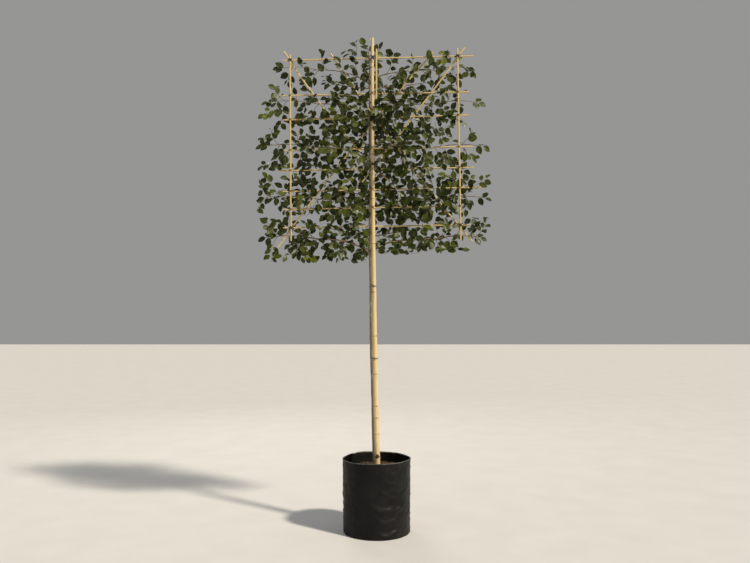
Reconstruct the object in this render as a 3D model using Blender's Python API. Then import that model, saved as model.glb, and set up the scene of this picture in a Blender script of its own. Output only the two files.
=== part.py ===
"""Potted espalier tree: a young evergreen trained flat on a frame of bamboo canes, in a black grow bag.

Metres, +Z up. The front of the espalier faces -Y and +X is to its right, seen from there.
The origin is the middle of the bag's flat underside.

From front to back the layers are: the two side uprights and the mast, the eight cross canes, the
canes that fall to the left, the canes that fall to the right, and then the trunk with its boughs.
Each mass of foliage grows from a bough's tip or from the trunk and fills a box of its own.
"""

import math
import random

import bpy
from mathutils import Vector
from mathutils.bvhtree import BVHTree

# ---------------------------------------------------------------- driving dimensions

GAP = 0.0003                 # between two solids that rest on each other
UP = Vector((0, 0, 1))
FRONT = Vector((0, -1, 0))

BAG_HEIGHT = 0.461
BAG_FOOT_RADIUS = 0.2125
BAG_RIM_RADIUS = 0.216
BAG_WALL = 0.003
BAG_BULGE = 0.0018           # how far the filled bag is out of round
BAG_SIDES = 32
BAG_RINGS = (0.012, 0.13, 0.26, 0.39)                # heights of the rings in its wall
BAG_LIP = 0.001              # how far the folded rim stands out
BAG_LIP_HEIGHT = 0.007
BAG_FOOT_ROUND = 0.0035      # of the edge under the wall
BAG_FOOT_CHAMFER = 0.012     # of the corner inside it
SOIL_DROP = 0.055            # soil surface below the rim
SOIL_TOP = BAG_HEIGHT - SOIL_DROP
SOIL_CROWN_RADIUS = 0.11     # the flat middle that carries the trunk
SOIL_FALL = 0.010            # how much lower the soil lies at the bag's wall

TRUNK_TIP = 2.93
TRUNK_FOOT_X = -0.004
TRUNK_LEAN = -0.046          # sideways drift of the trunk on its way up
TRUNK_LEAN_HEIGHT = 1.1
TRUNK_FOOT_RADIUS = 0.0185
TRUNK_TIP_RADIUS = 0.0062
ROOT_FLARE = 0.009
ROOT_FLARE_HEIGHT = 0.035
TRUNK_SIDES = 10

CANE_GAP = 0.0005            # between canes that cross
CANE_RADIUS = 0.0050         # cross canes at their thick end
DIAGONAL_RADIUS = 0.0055
UPRIGHT_RADIUS = 0.0060
CANE_TAPER = 0.92            # thin end over thick end
CANE_SIDES = 6
KNUCKLE = 1.05               # bamboo knuckle over the plain cane
KNUCKLE_LENGTH = 0.009
KNUCKLE_SPACING = 0.5

TRUNK_RADIUS_AT_CROSSING = 0.0107
RIGHT_FALLING_Y = -(TRUNK_RADIUS_AT_CROSSING + CANE_GAP + DIAGONAL_RADIUS)
LEFT_FALLING_Y = RIGHT_FALLING_Y - 2 * DIAGONAL_RADIUS - CANE_GAP
CROSS_Y = LEFT_FALLING_Y - DIAGONAL_RADIUS - CANE_RADIUS - CANE_GAP
UPRIGHT_Y = CROSS_Y - CANE_RADIUS - UPRIGHT_RADIUS - CANE_GAP
MAST_BACK_Y = CROSS_Y - CANE_RADIUS - CANE_GAP

MAST_FOOT = 0.135            # the mast stands 0.27 m deep in the soil
MAST_TIP = 3.175
MAST_FOOT_RADIUS = 0.0183
MAST_TIP_RADIUS = 0.0105
MAST_X_AT_SOIL = 0.0094
MAST_LEAN = -0.0135          # sideways, in metres for each metre of height
MAST_BOW = -0.012            # how far its middle lies to the side of the straight line
MAST_SIDES = 8
MAST_KNUCKLE = 1.03
MAST_KNUCKLE_SPACING = 0.34

# Ends of the canes as (x, z), left end first, from the top cane down.
CROSS_CANES = (
    ((-0.611, 3.032), (0.631, 3.063)),
    ((-0.629, 2.799), (0.600, 2.824)),
    ((-0.608, 2.640), (0.599, 2.672)),
    ((-0.620, 2.440), (0.624, 2.466)),
    ((-0.632, 2.307), (0.630, 2.330)),
    ((-0.631, 2.171), (0.681, 2.200)),
    ((-0.598, 2.055), (0.551, 2.078)),
    ((-0.656, 1.935), (0.602, 1.956)),
)
UPRIGHTS = {
    "upright_left": ((-0.564, 3.067), (-0.551, 1.850)),
    "upright_right": ((0.525, 3.110), (0.540, 1.856)),
}
LEADER_CANE = ((-0.001, 3.105), (-0.003, 2.775))
# Name: (upper end, lower end, layer, bow). A bow is positive where the middle lies above the straight line.
DIAGONALS = {
    "diagonal_left_short": ((-0.607, 3.100), (0.085, 2.240), RIGHT_FALLING_Y, -0.034),
    "diagonal_left_long": ((-0.301, 3.086), (0.618, 1.851), RIGHT_FALLING_Y, -0.024),
    "diagonal_right_short": ((0.576, 3.123), (-0.095, 2.235), LEFT_FALLING_Y, -0.006),
    "diagonal_right_long": ((0.371, 3.092), (-0.638, 1.811), LEFT_FALLING_Y, 0.022),
}

TIE_WIDTH = 0.008
TIE_THICKNESS = 0.0022
TIE_GAP = 0.0003
TIE_SIDES = 8
# Height of each tie between trunk and mast, with the diagonals that it holds as well.
TRUNK_TIES = (
    (1.10, ()),
    (1.56, ()),
    (2.347, ("diagonal_left_short", "diagonal_right_short")),
    (2.640, ("diagonal_left_long", "diagonal_right_long")),
)

TIER_HEIGHTS = (1.87, 2.13, 2.47, 2.76, 2.985)      # of the boughs' tips
TIER_FLOORS = (1.735, 1.989, 2.273, 2.557, 2.841, 3.125)
TIER_STAGGER = 0.025         # outer masses meet higher, and inner ones lower, than the floors
CROWN_DROOP = {"left": 0.03, "right": -0.03}         # of the crown's lower edge below its lowest floor
BOUGH_TIP_X = 0.365
BOUGH_RISE = 0.10
BOUGH_Y = 0.006              # the boughs run just behind the trunk's middle
BOUGH_RADIUS = (0.0078, 0.0048)
BOUGH_THINNING = 0.85        # each tier's boughs over those of the tier below
BOUGH_SIDES = 5
RIGHT_BOUGH_LIFT = 0.028     # boughs leave the trunk alternately

SPLIT_X = 0.375              # between the inner and the outer masses
CROWN_FRONT_Y = -0.205
CROWN_BACK_Y = 0.170
REACH_LEFT = (0.78, 0.815, 0.80, 0.775, 0.70)        # of the crown, from the lowest tier up
REACH_RIGHT = (0.735, 0.77, 0.765, 0.725, 0.66)
LEADER_LEFT_X = -0.115
LEADER_RIGHT_X = 0.045
CROWN_TIP = 3.183
MASS_GAP = 0.0008            # half the space between neighbouring masses

STEM_RADIUS = (0.0042, 0.0026)
STEM_ROOT = 0.025            # how far a stem runs square to the limb it grows from
SHOOT_RADIUS = (0.0025, 0.0017)
SHOOT_SPACING = 0.0435
SHOOT_REACH = (0.05, 0.20)   # shortest and longest shoot
CROWN_FLATNESS = 0.65        # shoots that would grow forwards or back are turned into the frame's plane
LEAF_ROOM = 0.8              # left between a shoot's tip and the wall of its space, in leaf lengths
GOLDEN_ANGLE = math.radians(137.5)
LEAF_LENGTH = (0.086, 0.114)
LEAF_WIDTH = 0.64            # of its length
LEAF_THICKNESS = 0.0016
LEAF_SPACING = 0.045
LEAF_WIDEST = 0.46           # of its length
LIMB_CLEARANCE = 0.0012      # that foliage keeps from limbs and canes


# ---------------------------------------------------------------- materials


def material(name, colour, roughness):
    made = bpy.data.materials.new(name)
    made.use_nodes = True
    shader = made.node_tree.nodes["Principled BSDF"]
    shader.inputs["Base Color"].default_value = (*colour, 1)
    shader.inputs["Roughness"].default_value = roughness
    shader.inputs["Metallic"].default_value = 0
    return made


def make_materials():
    return {
        "bag": material("black_film", (0.012, 0.012, 0.013), 0.45),
        "soil": material("soil", (0.045, 0.028, 0.018), 0.95),
        "bark": material("bark", (0.19, 0.155, 0.12), 0.85),
        "bamboo": material("bamboo", (0.72, 0.55, 0.29), 0.5),
        "tie": material("black_tie", (0.01, 0.01, 0.01), 0.5),
        "leaf": material("leaf", (0.035, 0.085, 0.016), 0.35),
    }


# ---------------------------------------------------------------- shapes as (points, faces)


def clear_scene():
    for obj in list(bpy.data.objects):
        bpy.data.objects.remove(obj, do_unlink=True)


def mix(low_high, share):
    low, high = low_high
    return low + (high - low) * share


def tube(path, radii, sides, hint=FRONT):
    """A closed tube of flat-ended rings along path. One corner of every ring points along hint."""
    if abs((path[-1] - path[0]).normalized().dot(hint)) > 0.85:
        hint = UP
    points = []
    for i, (centre, radius) in enumerate(zip(path, radii)):
        along = (path[min(i + 1, len(path) - 1)] - path[max(i - 1, 0)]).normalized()
        across = (hint - along * hint.dot(along)).normalized()
        other = along.cross(across)
        for k in range(sides):
            angle = 2 * math.pi * k / sides
            points.append(centre + radius * (across * math.cos(angle) + other * math.sin(angle)))
    faces = [tuple(reversed(range(sides)))]
    for i in range(len(path) - 1):
        for k in range(sides):
            near, far = i * sides, (i + 1) * sides
            step = (k + 1) % sides
            faces.append((near + k, near + step, far + step, far + k))
    faces.append(tuple(range(len(points) - sides, len(points))))
    return points, faces


def turned(profile, sides, radius_at):
    """A solid turned about Z. Profile is (radius, z), from its bottom's middle by the outside to its top's."""
    points = [Vector((0, 0, profile[0][1]))]
    for radius, z in profile[1:-1]:
        for k in range(sides):
            angle = 2 * math.pi * k / sides
            reach = radius_at(radius, z, angle)
            points.append(Vector((reach * math.cos(angle), reach * math.sin(angle), z)))
    points.append(Vector((0, 0, profile[-1][1])))
    last, rings = len(points) - 1, len(profile) - 2
    faces = []
    for k in range(sides):
        step = (k + 1) % sides
        faces.append((0, 1 + step, 1 + k))
        for i in range(rings - 1):
            low, high = 1 + i * sides, 1 + (i + 1) * sides
            faces.append((low + k, low + step, high + step, high + k))
        top = 1 + (rings - 1) * sides
        faces.append((top + k, top + step, last))
    return points, faces


def build_object(name, shape, skin):
    points, faces = shape
    mesh = bpy.data.meshes.new(name)
    mesh.from_pydata([tuple(p) for p in points], [], faces)
    mesh.materials.append(skin)
    mesh.shade_smooth()
    mesh.set_sharp_from_angle(angle=math.radians(35))
    obj = bpy.data.objects.new(name, mesh)
    bpy.context.scene.collection.objects.link(obj)
    return obj


def as_cutter(obj):
    obj.hide_render = True
    obj.display_type = "WIRE"
    return obj


def cut(obj, cutter):
    modifier = obj.modifiers.new("cut", "BOOLEAN")
    modifier.operation = "DIFFERENCE"
    modifier.object = cutter


# ---------------------------------------------------------------- bag and soil


def bag_radius(radius, z, angle):
    """The bag is a little out of round half way up, where the soil presses it out."""
    swell = math.sin(math.pi * min(max(z / BAG_HEIGHT, 0), 1))
    return radius + BAG_BULGE * swell * math.sin(3 * angle + 0.8) * min(1, radius / BAG_FOOT_RADIUS)


def wall_radius(z):
    return BAG_FOOT_RADIUS + (BAG_RIM_RADIUS - BAG_FOOT_RADIUS) * z / BAG_HEIGHT


def build_bag(skin):
    outside = [(BAG_FOOT_RADIUS - 3 * BAG_FOOT_ROUND, 0), (BAG_FOOT_RADIUS - BAG_FOOT_ROUND, BAG_FOOT_ROUND)]
    outside += [(wall_radius(z), z) for z in BAG_RINGS]
    fold = BAG_HEIGHT - BAG_LIP_HEIGHT
    lip = BAG_RIM_RADIUS + BAG_LIP
    outside += [(wall_radius(fold - BAG_LIP), fold - BAG_LIP), (lip, fold), (lip, BAG_HEIGHT)]
    inside = [(wall_radius(z) - BAG_WALL, z) for z in [BAG_HEIGHT, *reversed(BAG_RINGS)]]
    floor = [(BAG_FOOT_RADIUS - BAG_FOOT_CHAMFER, BAG_WALL), (0, BAG_WALL)]
    profile = [(0, 0), *outside, *inside, *floor]
    return build_object("grow_bag", turned(profile, BAG_SIDES, bag_radius), skin)


def build_soil(skin, mast):
    """The root ball fills the bag, and has the hole that the mast stands in."""
    inner = BAG_WALL + GAP
    edge = SOIL_TOP - SOIL_FALL
    outside = [(BAG_FOOT_RADIUS - BAG_FOOT_CHAMFER - 2 * GAP, inner)]
    outside += [(wall_radius(z) - inner - GAP, z) for z in [*BAG_RINGS, edge]]
    shoulder = mix((SOIL_CROWN_RADIUS, BAG_RIM_RADIUS), 0.45)
    crown = [(shoulder, mix((edge, SOIL_TOP), 0.6)), (SOIL_CROWN_RADIUS, SOIL_TOP)]
    profile = [(0, inner), *outside, *crown, (0, SOIL_TOP)]
    soil = build_object("soil", turned(profile, BAG_SIDES, bag_radius), skin)
    path = [mast_centre(z) for z in (MAST_FOOT - GAP, mix((MAST_FOOT, SOIL_TOP), 0.6), SOIL_TOP + 0.02)]
    radii = [MAST_KNUCKLE * mast_radius(p.z) + GAP for p in path]
    cut(soil, as_cutter(build_object("mast_hole", tube(path, radii, MAST_SIDES), skin)))
    return soil


# ---------------------------------------------------------------- trunk and boughs


def trunk_centre(z):
    """The foot stands square on the soil for its first centimetre, and the lean starts there."""
    drift = 1 - math.exp(-max(0, z - SOIL_TOP - 0.0125) / TRUNK_LEAN_HEIGHT)
    return Vector((TRUNK_FOOT_X + TRUNK_LEAN * drift, 0, z))


def trunk_radius(z):
    share = (z - SOIL_TOP) / (TRUNK_TIP - SOIL_TOP)
    flare = ROOT_FLARE * math.exp(-(z - SOIL_TOP) / ROOT_FLARE_HEIGHT)
    return mix((TRUNK_FOOT_RADIUS, TRUNK_TIP_RADIUS), share**1.5) + flare


def trunk_shape(extra=0.0):
    heights = [SOIL_TOP + GAP + rise for rise in (0, 0.012, 0.03, 0.06, 0.12)]
    heights += [mix((0.75, TRUNK_TIP), k / 9) for k in range(10)]
    return tube([trunk_centre(z) for z in heights], [trunk_radius(z) + extra for z in heights], TRUNK_SIDES)


def bough_path(side, tier):
    """A bough rises from the trunk and levels out behind the canes."""
    tip_z = TIER_HEIGHTS[tier]
    root = trunk_centre(tip_z - BOUGH_RISE + (RIGHT_BOUGH_LIFT if side > 0 else 0))
    knee = Vector((root.x + side * 0.11, BOUGH_Y, tip_z))
    tip = Vector((side * BOUGH_TIP_X, BOUGH_Y, tip_z))
    curve = [root.lerp(knee, t).lerp(knee.lerp(tip, t), t) for t in (0, 0.25, 0.5, 0.8)]
    return [*curve, tip - Vector((side * 0.02, 0, 0)), tip]


def bough_radii(tier, count):
    thin = BOUGH_THINNING**tier
    return [thin * mix(BOUGH_RADIUS, k / (count - 1)) for k in range(count)]


# ---------------------------------------------------------------- canes


def mast_radius(z):
    return mix((MAST_FOOT_RADIUS, MAST_TIP_RADIUS), (z - MAST_FOOT) / (MAST_TIP - MAST_FOOT))


def mast_centre(z):
    """The mast leans back as it thins, so that its back stays against the cross canes."""
    share = (z - MAST_FOOT) / (MAST_TIP - MAST_FOOT)
    x = MAST_X_AT_SOIL + MAST_LEAN * (z - SOIL_TOP) + MAST_BOW * 4 * share * (1 - share)
    return Vector((x, MAST_BACK_Y - mast_radius(z), z))


def knuckled(start, end, radii, spacing, knuckle, bow=0.0):
    """Path and radii of a bamboo cane: plain lengths with a low ring at each knuckle."""
    length = (end - start).length
    across = (end - start).cross(FRONT).normalized()
    across *= 1 if across.z > 0 else -1
    count = max(2, round(length / spacing))
    half = KNUCKLE_LENGTH / 2 / length
    stops = [(0.0, 1.0)]
    for k in range(count):
        at = (k + 0.5) / count
        stops += [(at - half, 1.0), (at, knuckle), (at + half, 1.0)]
    stops.append((1.0, 1.0))
    path, sizes = [], []
    for share, swell in stops:
        path.append(start.lerp(end, share) + across * bow * 4 * share * (1 - share))
        sizes.append(mix(radii, share) * swell)
    return path, sizes


def cane_course(ends, layer, radius, bow=0.0):
    start, end = (Vector((x, layer, z)) for x, z in ends)
    return knuckled(start, end, (radius, radius * CANE_TAPER), KNUCKLE_SPACING, KNUCKLE, bow)


def cane_courses():
    """Every thin cane of the frame: name, then path and radii."""
    courses = {}
    for k, ends in enumerate(CROSS_CANES):
        if k % 2:
            ends = ends[::-1]         # thick ends point left and right in turn
        courses[f"cross_cane_{k + 1}"] = cane_course(ends, CROSS_Y, CANE_RADIUS)
    for name, ends in UPRIGHTS.items():
        courses[name] = cane_course(ends, UPRIGHT_Y, UPRIGHT_RADIUS)
    courses["leader_cane"] = cane_course(LEADER_CANE, UPRIGHT_Y, UPRIGHT_RADIUS)
    for name, (upper, lower, layer, bow) in DIAGONALS.items():
        courses[name] = cane_course((upper, lower), layer, DIAGONAL_RADIUS, bow)
    return courses


def mast_course():
    start, end = mast_centre(MAST_FOOT), mast_centre(MAST_TIP)
    radii = (MAST_FOOT_RADIUS, MAST_TIP_RADIUS)
    return knuckled(start, end, radii, MAST_KNUCKLE_SPACING, MAST_KNUCKLE, MAST_BOW)


# ---------------------------------------------------------------- ties


def member_at(course, spot):
    """(a point on the cane's axis, its direction, its radius) where the cane passes nearest to spot."""
    path, radii = course
    best = None
    for a, b, ra, rb in zip(path, path[1:], radii, radii[1:]):
        share = min(max((spot - a).dot(b - a) / (b - a).length_squared, 0), 1)
        point = a.lerp(b, share)
        distance = Vector((point.x - spot.x, 0, point.z - spot.z)).length
        if best is None or distance < best[0]:
            best = (distance, point, (b - a).normalized(), max(ra, rb))
    return best[1:]


def tie_shape(spot, first, members):
    """A flat loop drawn tight round members, in the plane through spot that holds first and the Y axis,
    or in the level plane where first is None."""
    across = Vector((1, 0, 0)) if first is None else first.normalized()
    second = Vector((0, 1, 0))
    normal = across.cross(second)
    facings, reaches = [], []
    for k in range(TIE_SIDES):
        angle = 2 * math.pi * (k + 0.5) / TIE_SIDES
        facing = across * math.cos(angle) + second * math.sin(angle)
        facings.append(facing)
        reaches.append(max(reach_of(member, spot, normal, facing) for member in members))
    points = []
    for offset in (-TIE_WIDTH / 2, TIE_WIDTH / 2):
        for k in range(TIE_SIDES):
            ahead = (k + 1) % TIE_SIDES
            for thickness in (0, TIE_THICKNESS):
                a, b = reaches[k] + thickness, reaches[ahead] + thickness
                turn = facings[k].dot(facings[ahead])
                corner = facings[k] * (a - b * turn) + facings[ahead] * (b - a * turn)
                points.append(spot + corner / (1 - turn**2) + normal * offset)
    faces, row = [], 2 * TIE_SIDES
    for k in range(TIE_SIDES):
        a, b = 2 * k, 2 * ((k + 1) % TIE_SIDES)
        faces += [(a, b, b + 1, a + 1), (row + a, row + a + 1, row + b + 1, row + b)]
        faces += [(a, row + a, row + b, b), (a + 1, b + 1, row + b + 1, row + a + 1)]
    return points, faces


def reach_of(member, spot, normal, facing):
    """How far a cane reaches from spot towards facing, within the width of a tie square to normal."""
    point, along, radius = member
    square = along.dot(normal)
    slant = along - normal * square
    beside = normal.cross(slant).normalized() if slant.length > 1e-4 else facing
    half = radius + TIE_GAP
    oval = math.hypot(half * facing.dot(beside), half / abs(square) * facing.dot(normal.cross(beside)))
    middles = []
    for offset in (-TIE_WIDTH / 2, TIE_WIDTH / 2):
        middle = point + along * ((offset - (point - spot).dot(normal)) / square)
        middles.append((middle - spot).dot(facing))
    return max(middles) + (oval if slant.length > 1e-4 else half)


def meeting(course_a, course_b):
    """Where two canes cross as seen from the front."""
    best = None
    for a0, a1 in zip(course_a[0], course_a[0][1:]):
        for b0, b1 in zip(course_b[0], course_b[0][1:]):
            run_a, run_b, step = a1 - a0, b1 - b0, b0 - a0
            cross = run_a.x * run_b.z - run_a.z * run_b.x
            share_a = (step.x * run_b.z - step.z * run_b.x) / cross
            share_b = (step.x * run_a.z - step.z * run_a.x) / cross
            outside_a = max(0, abs(share_a - 0.5) - 0.5) * run_a.length
            beyond = outside_a + max(0, abs(share_b - 0.5) - 0.5) * run_b.length
            if best is None or beyond < best[0]:
                best = (beyond, a0 + run_a * share_a)
    return best[1]


def level_line(z):
    """A level course at height z, to find where a cane passes that height."""
    return [Vector((-1, 0, z)), Vector((1, 0, z))], [0, 0]


def tie_shapes(canes, mast, trunk):
    """The ties that hold the trunk to the mast, and those at the frame's corners and the mast's head."""
    shapes = {}
    for k, (z, diagonals) in enumerate(TRUNK_TIES):
        spot = mast_centre(z)
        members = [member_at(mast, spot), member_at(trunk, trunk_centre(z))]
        members += [member_at(canes[name], meeting(canes[name], level_line(z))) for name in diagonals]
        shapes[f"trunk_tie_{k + 1}"] = tie_shape(spot, None, members)
    rising, falling = Vector((1, 0, 1)), Vector((-1, 0, 1))
    crossings = {
        "tie_mast_head": ([mast, canes["cross_cane_1"]], falling),
        "tie_diagonal": ([canes["diagonal_left_short"], canes["cross_cane_2"]], Vector((0.8, 0, 1.6))),
    }
    corners = {
        "tie_top_left": ("upright_left", "cross_cane_1", "diagonal_left_short", rising),
        "tie_top_right": ("upright_right", "cross_cane_1", "diagonal_right_short", falling),
        "tie_low_left": ("upright_left", "cross_cane_8", "diagonal_right_long", falling),
        "tie_low_right": ("upright_right", "cross_cane_8", "diagonal_left_long", rising),
    }
    for name, (*members, first) in corners.items():
        crossings[name] = ([canes[member] for member in members], first)
    for name, (courses, first) in crossings.items():
        spot = meeting(courses[0], courses[1])
        shapes[name] = tie_shape(spot, first, [member_at(course, spot) for course in courses])
    return shapes


# ---------------------------------------------------------------- foliage


def tree_of(shape):
    points, faces = shape
    return BVHTree.FromPolygons(points, faces)


def merged(shapes):
    points, faces = [], []
    for more_points, more_faces in shapes:
        start = len(points)
        points += more_points
        faces += [tuple(start + i for i in face) for face in more_faces]
    return points, faces


def leaf_shape(root, heading, facing, length):
    """Eight faces: a flat lozenge with a keel, its sides a little raised and its tip drooping."""
    side = heading.cross(facing).normalized()
    facing = side.cross(heading).normalized()
    middle = root + heading * LEAF_WIDEST * length
    half = side * LEAF_WIDTH * length / 2
    raised = facing * 0.05 * length
    tip = root + heading * length - facing * 0.07 * length
    top, keel = middle + facing * LEAF_THICKNESS / 2, middle - facing * LEAF_THICKNESS / 2
    points = [root, middle + half + raised, tip, middle - half + raised, top, keel]
    faces = [(k, (k + 1) % 4, 4) for k in range(4)] + [((k + 1) % 4, k, 5) for k in range(4)]
    return points, faces


class Mass:
    """One mass of foliage: a stem, shoots round it and leaves on them, all inside a box."""

    def __init__(self, seed, box, limbs):
        self.rng = random.Random(seed)
        self.low = Vector(box[0]) + Vector((MASS_GAP,) * 3)
        self.high = Vector(box[1]) - Vector((MASS_GAP,) * 3)
        self.limbs = limbs
        self.shapes = []
        self.trees = []

    def holds(self, shape):
        return all(
            self.low[axis] <= point[axis] <= self.high[axis] for point in shape[0] for axis in range(3)
        )

    def is_free(self, shape, own):
        """Inside the box and clear of the limbs and of all this mass's pieces but those it grows from."""
        if not self.holds(shape):
            return None
        tree = tree_of(shape)
        if tree.overlap(self.limbs):
            return None
        if any(tree.overlap(other) for k, other in enumerate(self.trees) if k not in own):
            return None
        return tree

    def add(self, shape, tree):
        self.shapes.append(shape)
        self.trees.append(tree)
        return len(self.trees) - 1

    def run_to_wall(self, start, heading):
        """How far a ray from start goes before it leaves the box."""
        runs = [
            ((self.high[k] if heading[k] > 0 else self.low[k]) - start[k]) / heading[k]
            for k in range(3)
            if abs(heading[k]) > 1e-6
        ]
        return min(runs)

    def jitter(self, amount):
        return Vector([self.rng.uniform(-amount, amount) for _ in range(3)])

    def grow(self, path):
        radii = [mix(STEM_RADIUS, k / (len(path) - 1)) for k in range(len(path))]
        stem = tube(path, radii, 3)
        stem_index = self.add(stem, tree_of(stem))
        length = sum((b - a).length for a, b in zip(path, path[1:]))
        count = max(3, round(length / SHOOT_SPACING))
        spin = self.rng.uniform(0, 2 * math.pi)
        for k in range(count):
            share = mix((0.10, 0.98), (k + self.rng.uniform(0.2, 0.8)) / count)
            for attempt in range(12):
                angle = spin + k * GOLDEN_ANGLE + attempt * 0.55
                if self.grow_shoot(path, share, angle, stem_index):
                    break
        along = (path[-1] - path[-2]).normalized()
        self.add_leaves([path[-2].lerp(path[-1], 0.2), path[-1]], stem_index, along, 3)

    def grow_shoot(self, path, share, angle, stem_index):
        place = share * (len(path) - 1)
        k = min(int(place), len(path) - 2)
        root = path[k].lerp(path[k + 1], place - k)
        along = (path[k + 1] - path[k]).normalized()
        across = along.cross(UP if abs(along.z) < 0.9 else FRONT).normalized()
        other = along.cross(across)
        heading = across * math.cos(angle) + other * math.sin(angle) + along * self.rng.uniform(0.2, 0.7)
        heading.y *= CROWN_FLATNESS
        heading = (heading + self.jitter(0.15)).normalized()
        shortest, longest = SHOOT_REACH
        run = self.run_to_wall(root, heading) - LEAF_ROOM * LEAF_LENGTH[0]
        length = min(longest, run * self.rng.uniform(0.85, 1.0))
        if length < shortest:
            return False
        shoot_path = [root, root + heading * length]
        shoot = tube(shoot_path, SHOOT_RADIUS, 3)
        tree = self.is_free(shoot, {stem_index})
        if tree is None:
            return False
        index = self.add(shoot, tree)
        count = max(2, round(length / LEAF_SPACING))
        self.add_leaves(shoot_path, index, heading, count)
        return True

    def add_leaves(self, path, twig_index, heading, count):
        """Leaves alternate from side to side along the outer part of the twig, and one ends it."""
        outward = FRONT if path[-1].y < 0 else -FRONT
        for k in range(count):
            share = 1.0 if k == 0 else mix((0.97, 0.22), k / count)
            place = share * (len(path) - 1)
            i = min(int(place), len(path) - 2)
            root = path[i].lerp(path[i + 1], min(place - i, 0.985))
            for _ in range(16):
                facing = (outward * 0.75 + UP * 0.55 + self.jitter(0.75)).normalized()
                side = heading.cross(facing).normalized() * (1 if k % 2 else -1)
                lean = 0.0 if k == 0 else self.rng.uniform(0.9, 1.5)
                direction = (heading + side * lean + UP * -0.15 + self.jitter(0.35)).normalized()
                length = self.rng.uniform(*LEAF_LENGTH)
                leaf = leaf_shape(root, direction, facing, length)
                tree = self.is_free(leaf, {twig_index})
                if tree is not None:
                    self.add(leaf, tree)
                    break


def fuse(name, shapes, skin):
    """One solid: the first shape joined with all the others by a Boolean union."""
    body = build_object(name, shapes[0], skin)
    others = bpy.data.collections.new(name + "_pieces")
    bpy.context.scene.collection.children.link(others)
    for k, shape in enumerate(shapes[1:]):
        piece = build_object(f"{name}_piece_{k}", shape, skin)
        bpy.context.scene.collection.objects.unlink(piece)
        others.objects.link(piece)
    modifier = body.modifiers.new("fuse", "BOOLEAN")
    modifier.operation = "UNION"
    modifier.operand_type = "COLLECTION"
    modifier.collection = others
    graph = bpy.context.evaluated_depsgraph_get()
    fused = bpy.data.meshes.new_from_object(body.evaluated_get(graph))
    body.modifiers.remove(modifier)
    body.data = fused
    for piece in list(others.objects):
        bpy.data.objects.remove(piece, do_unlink=True)
    bpy.data.collections.remove(others)
    return body


def curve_between(start, setting_off, end, sag, steps=3):
    """A shallow arc from start to end, its middle moved by sag. It sets off squarely from its limb."""
    first = start + setting_off * STEM_ROOT
    arc = [first.lerp(end, k / steps) + sag * 4 * (k / steps) * (1 - k / steps) for k in range(steps + 1)]
    return [start, *arc]


def mass_plans():
    """Name of each mass: (seed, box, path of its stem)."""
    plans = {}
    middle = (LEADER_LEFT_X + LEADER_RIGHT_X) / 2
    for tier, tip_z in enumerate(TIER_HEIGHTS):
        floor, roof = TIER_FLOORS[tier], TIER_FLOORS[tier + 1]
        top_tier = tier == len(TIER_HEIGHTS) - 1
        for side, word, reach in ((-1, "left", REACH_LEFT[tier]), (1, "right", REACH_RIGHT[tier])):
            seed = 100 * tier + (10 if side > 0 else 20)
            inner_x = (LEADER_LEFT_X if side < 0 else LEADER_RIGHT_X) if top_tier else middle
            split_x = side * SPLIT_X
            spans = {"inner": sorted((inner_x, split_x)), "outer": sorted((split_x, side * reach))}
            boxes = {}
            for part, (low, high) in spans.items():
                shift = TIER_STAGGER if part == "outer" else -TIER_STAGGER
                box_floor = floor + shift if tier else floor - CROWN_DROOP[word]
                box_roof = roof if top_tier else roof + shift
                boxes[part] = ((low, CROWN_FRONT_Y, box_floor), (high, CROWN_BACK_Y, box_roof))
            start_z, end_z = tip_z + 0.02, mix((tip_z, roof), 0.6)
            if top_tier:          # its boughs leave the trunk's tip, so its inner stems set off below them
                start_z, end_z = floor + 0.02, floor + 0.06
            trunk = trunk_centre(start_z)
            outward = Vector((side, 0, 0))
            root = trunk + outward * (trunk_radius(start_z) * math.cos(math.pi / TRUNK_SIDES) + GAP)
            end = Vector((side * (SPLIT_X - 0.05), BOUGH_Y, end_z))
            plans[f"foliage_{word}_inner_{tier + 1}"] = (
                seed, boxes["inner"], curve_between(root, outward, end, Vector((0, 0.012, 0))),
            )
            start = bough_path(side, tier)[-1] + outward * GAP
            far = Vector((side * (reach - 0.07), BOUGH_Y, start.z + 0.01))
            plans[f"foliage_{word}_outer_{tier + 1}"] = (
                seed + 1, boxes["outer"], curve_between(start, outward, far, Vector((0, 0, 0.015))),
            )
    start = trunk_centre(TRUNK_TIP) + Vector((0, 0, GAP))
    box = ((LEADER_LEFT_X, CROWN_FRONT_Y, TIER_FLOORS[-2]), (LEADER_RIGHT_X, CROWN_BACK_Y, CROWN_TIP))
    top = Vector((start.x - 0.014, 0.004, CROWN_TIP - 0.055))
    plans["foliage_leader"] = (900, box, curve_between(start, UP, top, Vector((0.004, 0, 0))))
    return plans


# ---------------------------------------------------------------- the whole tree


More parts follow.
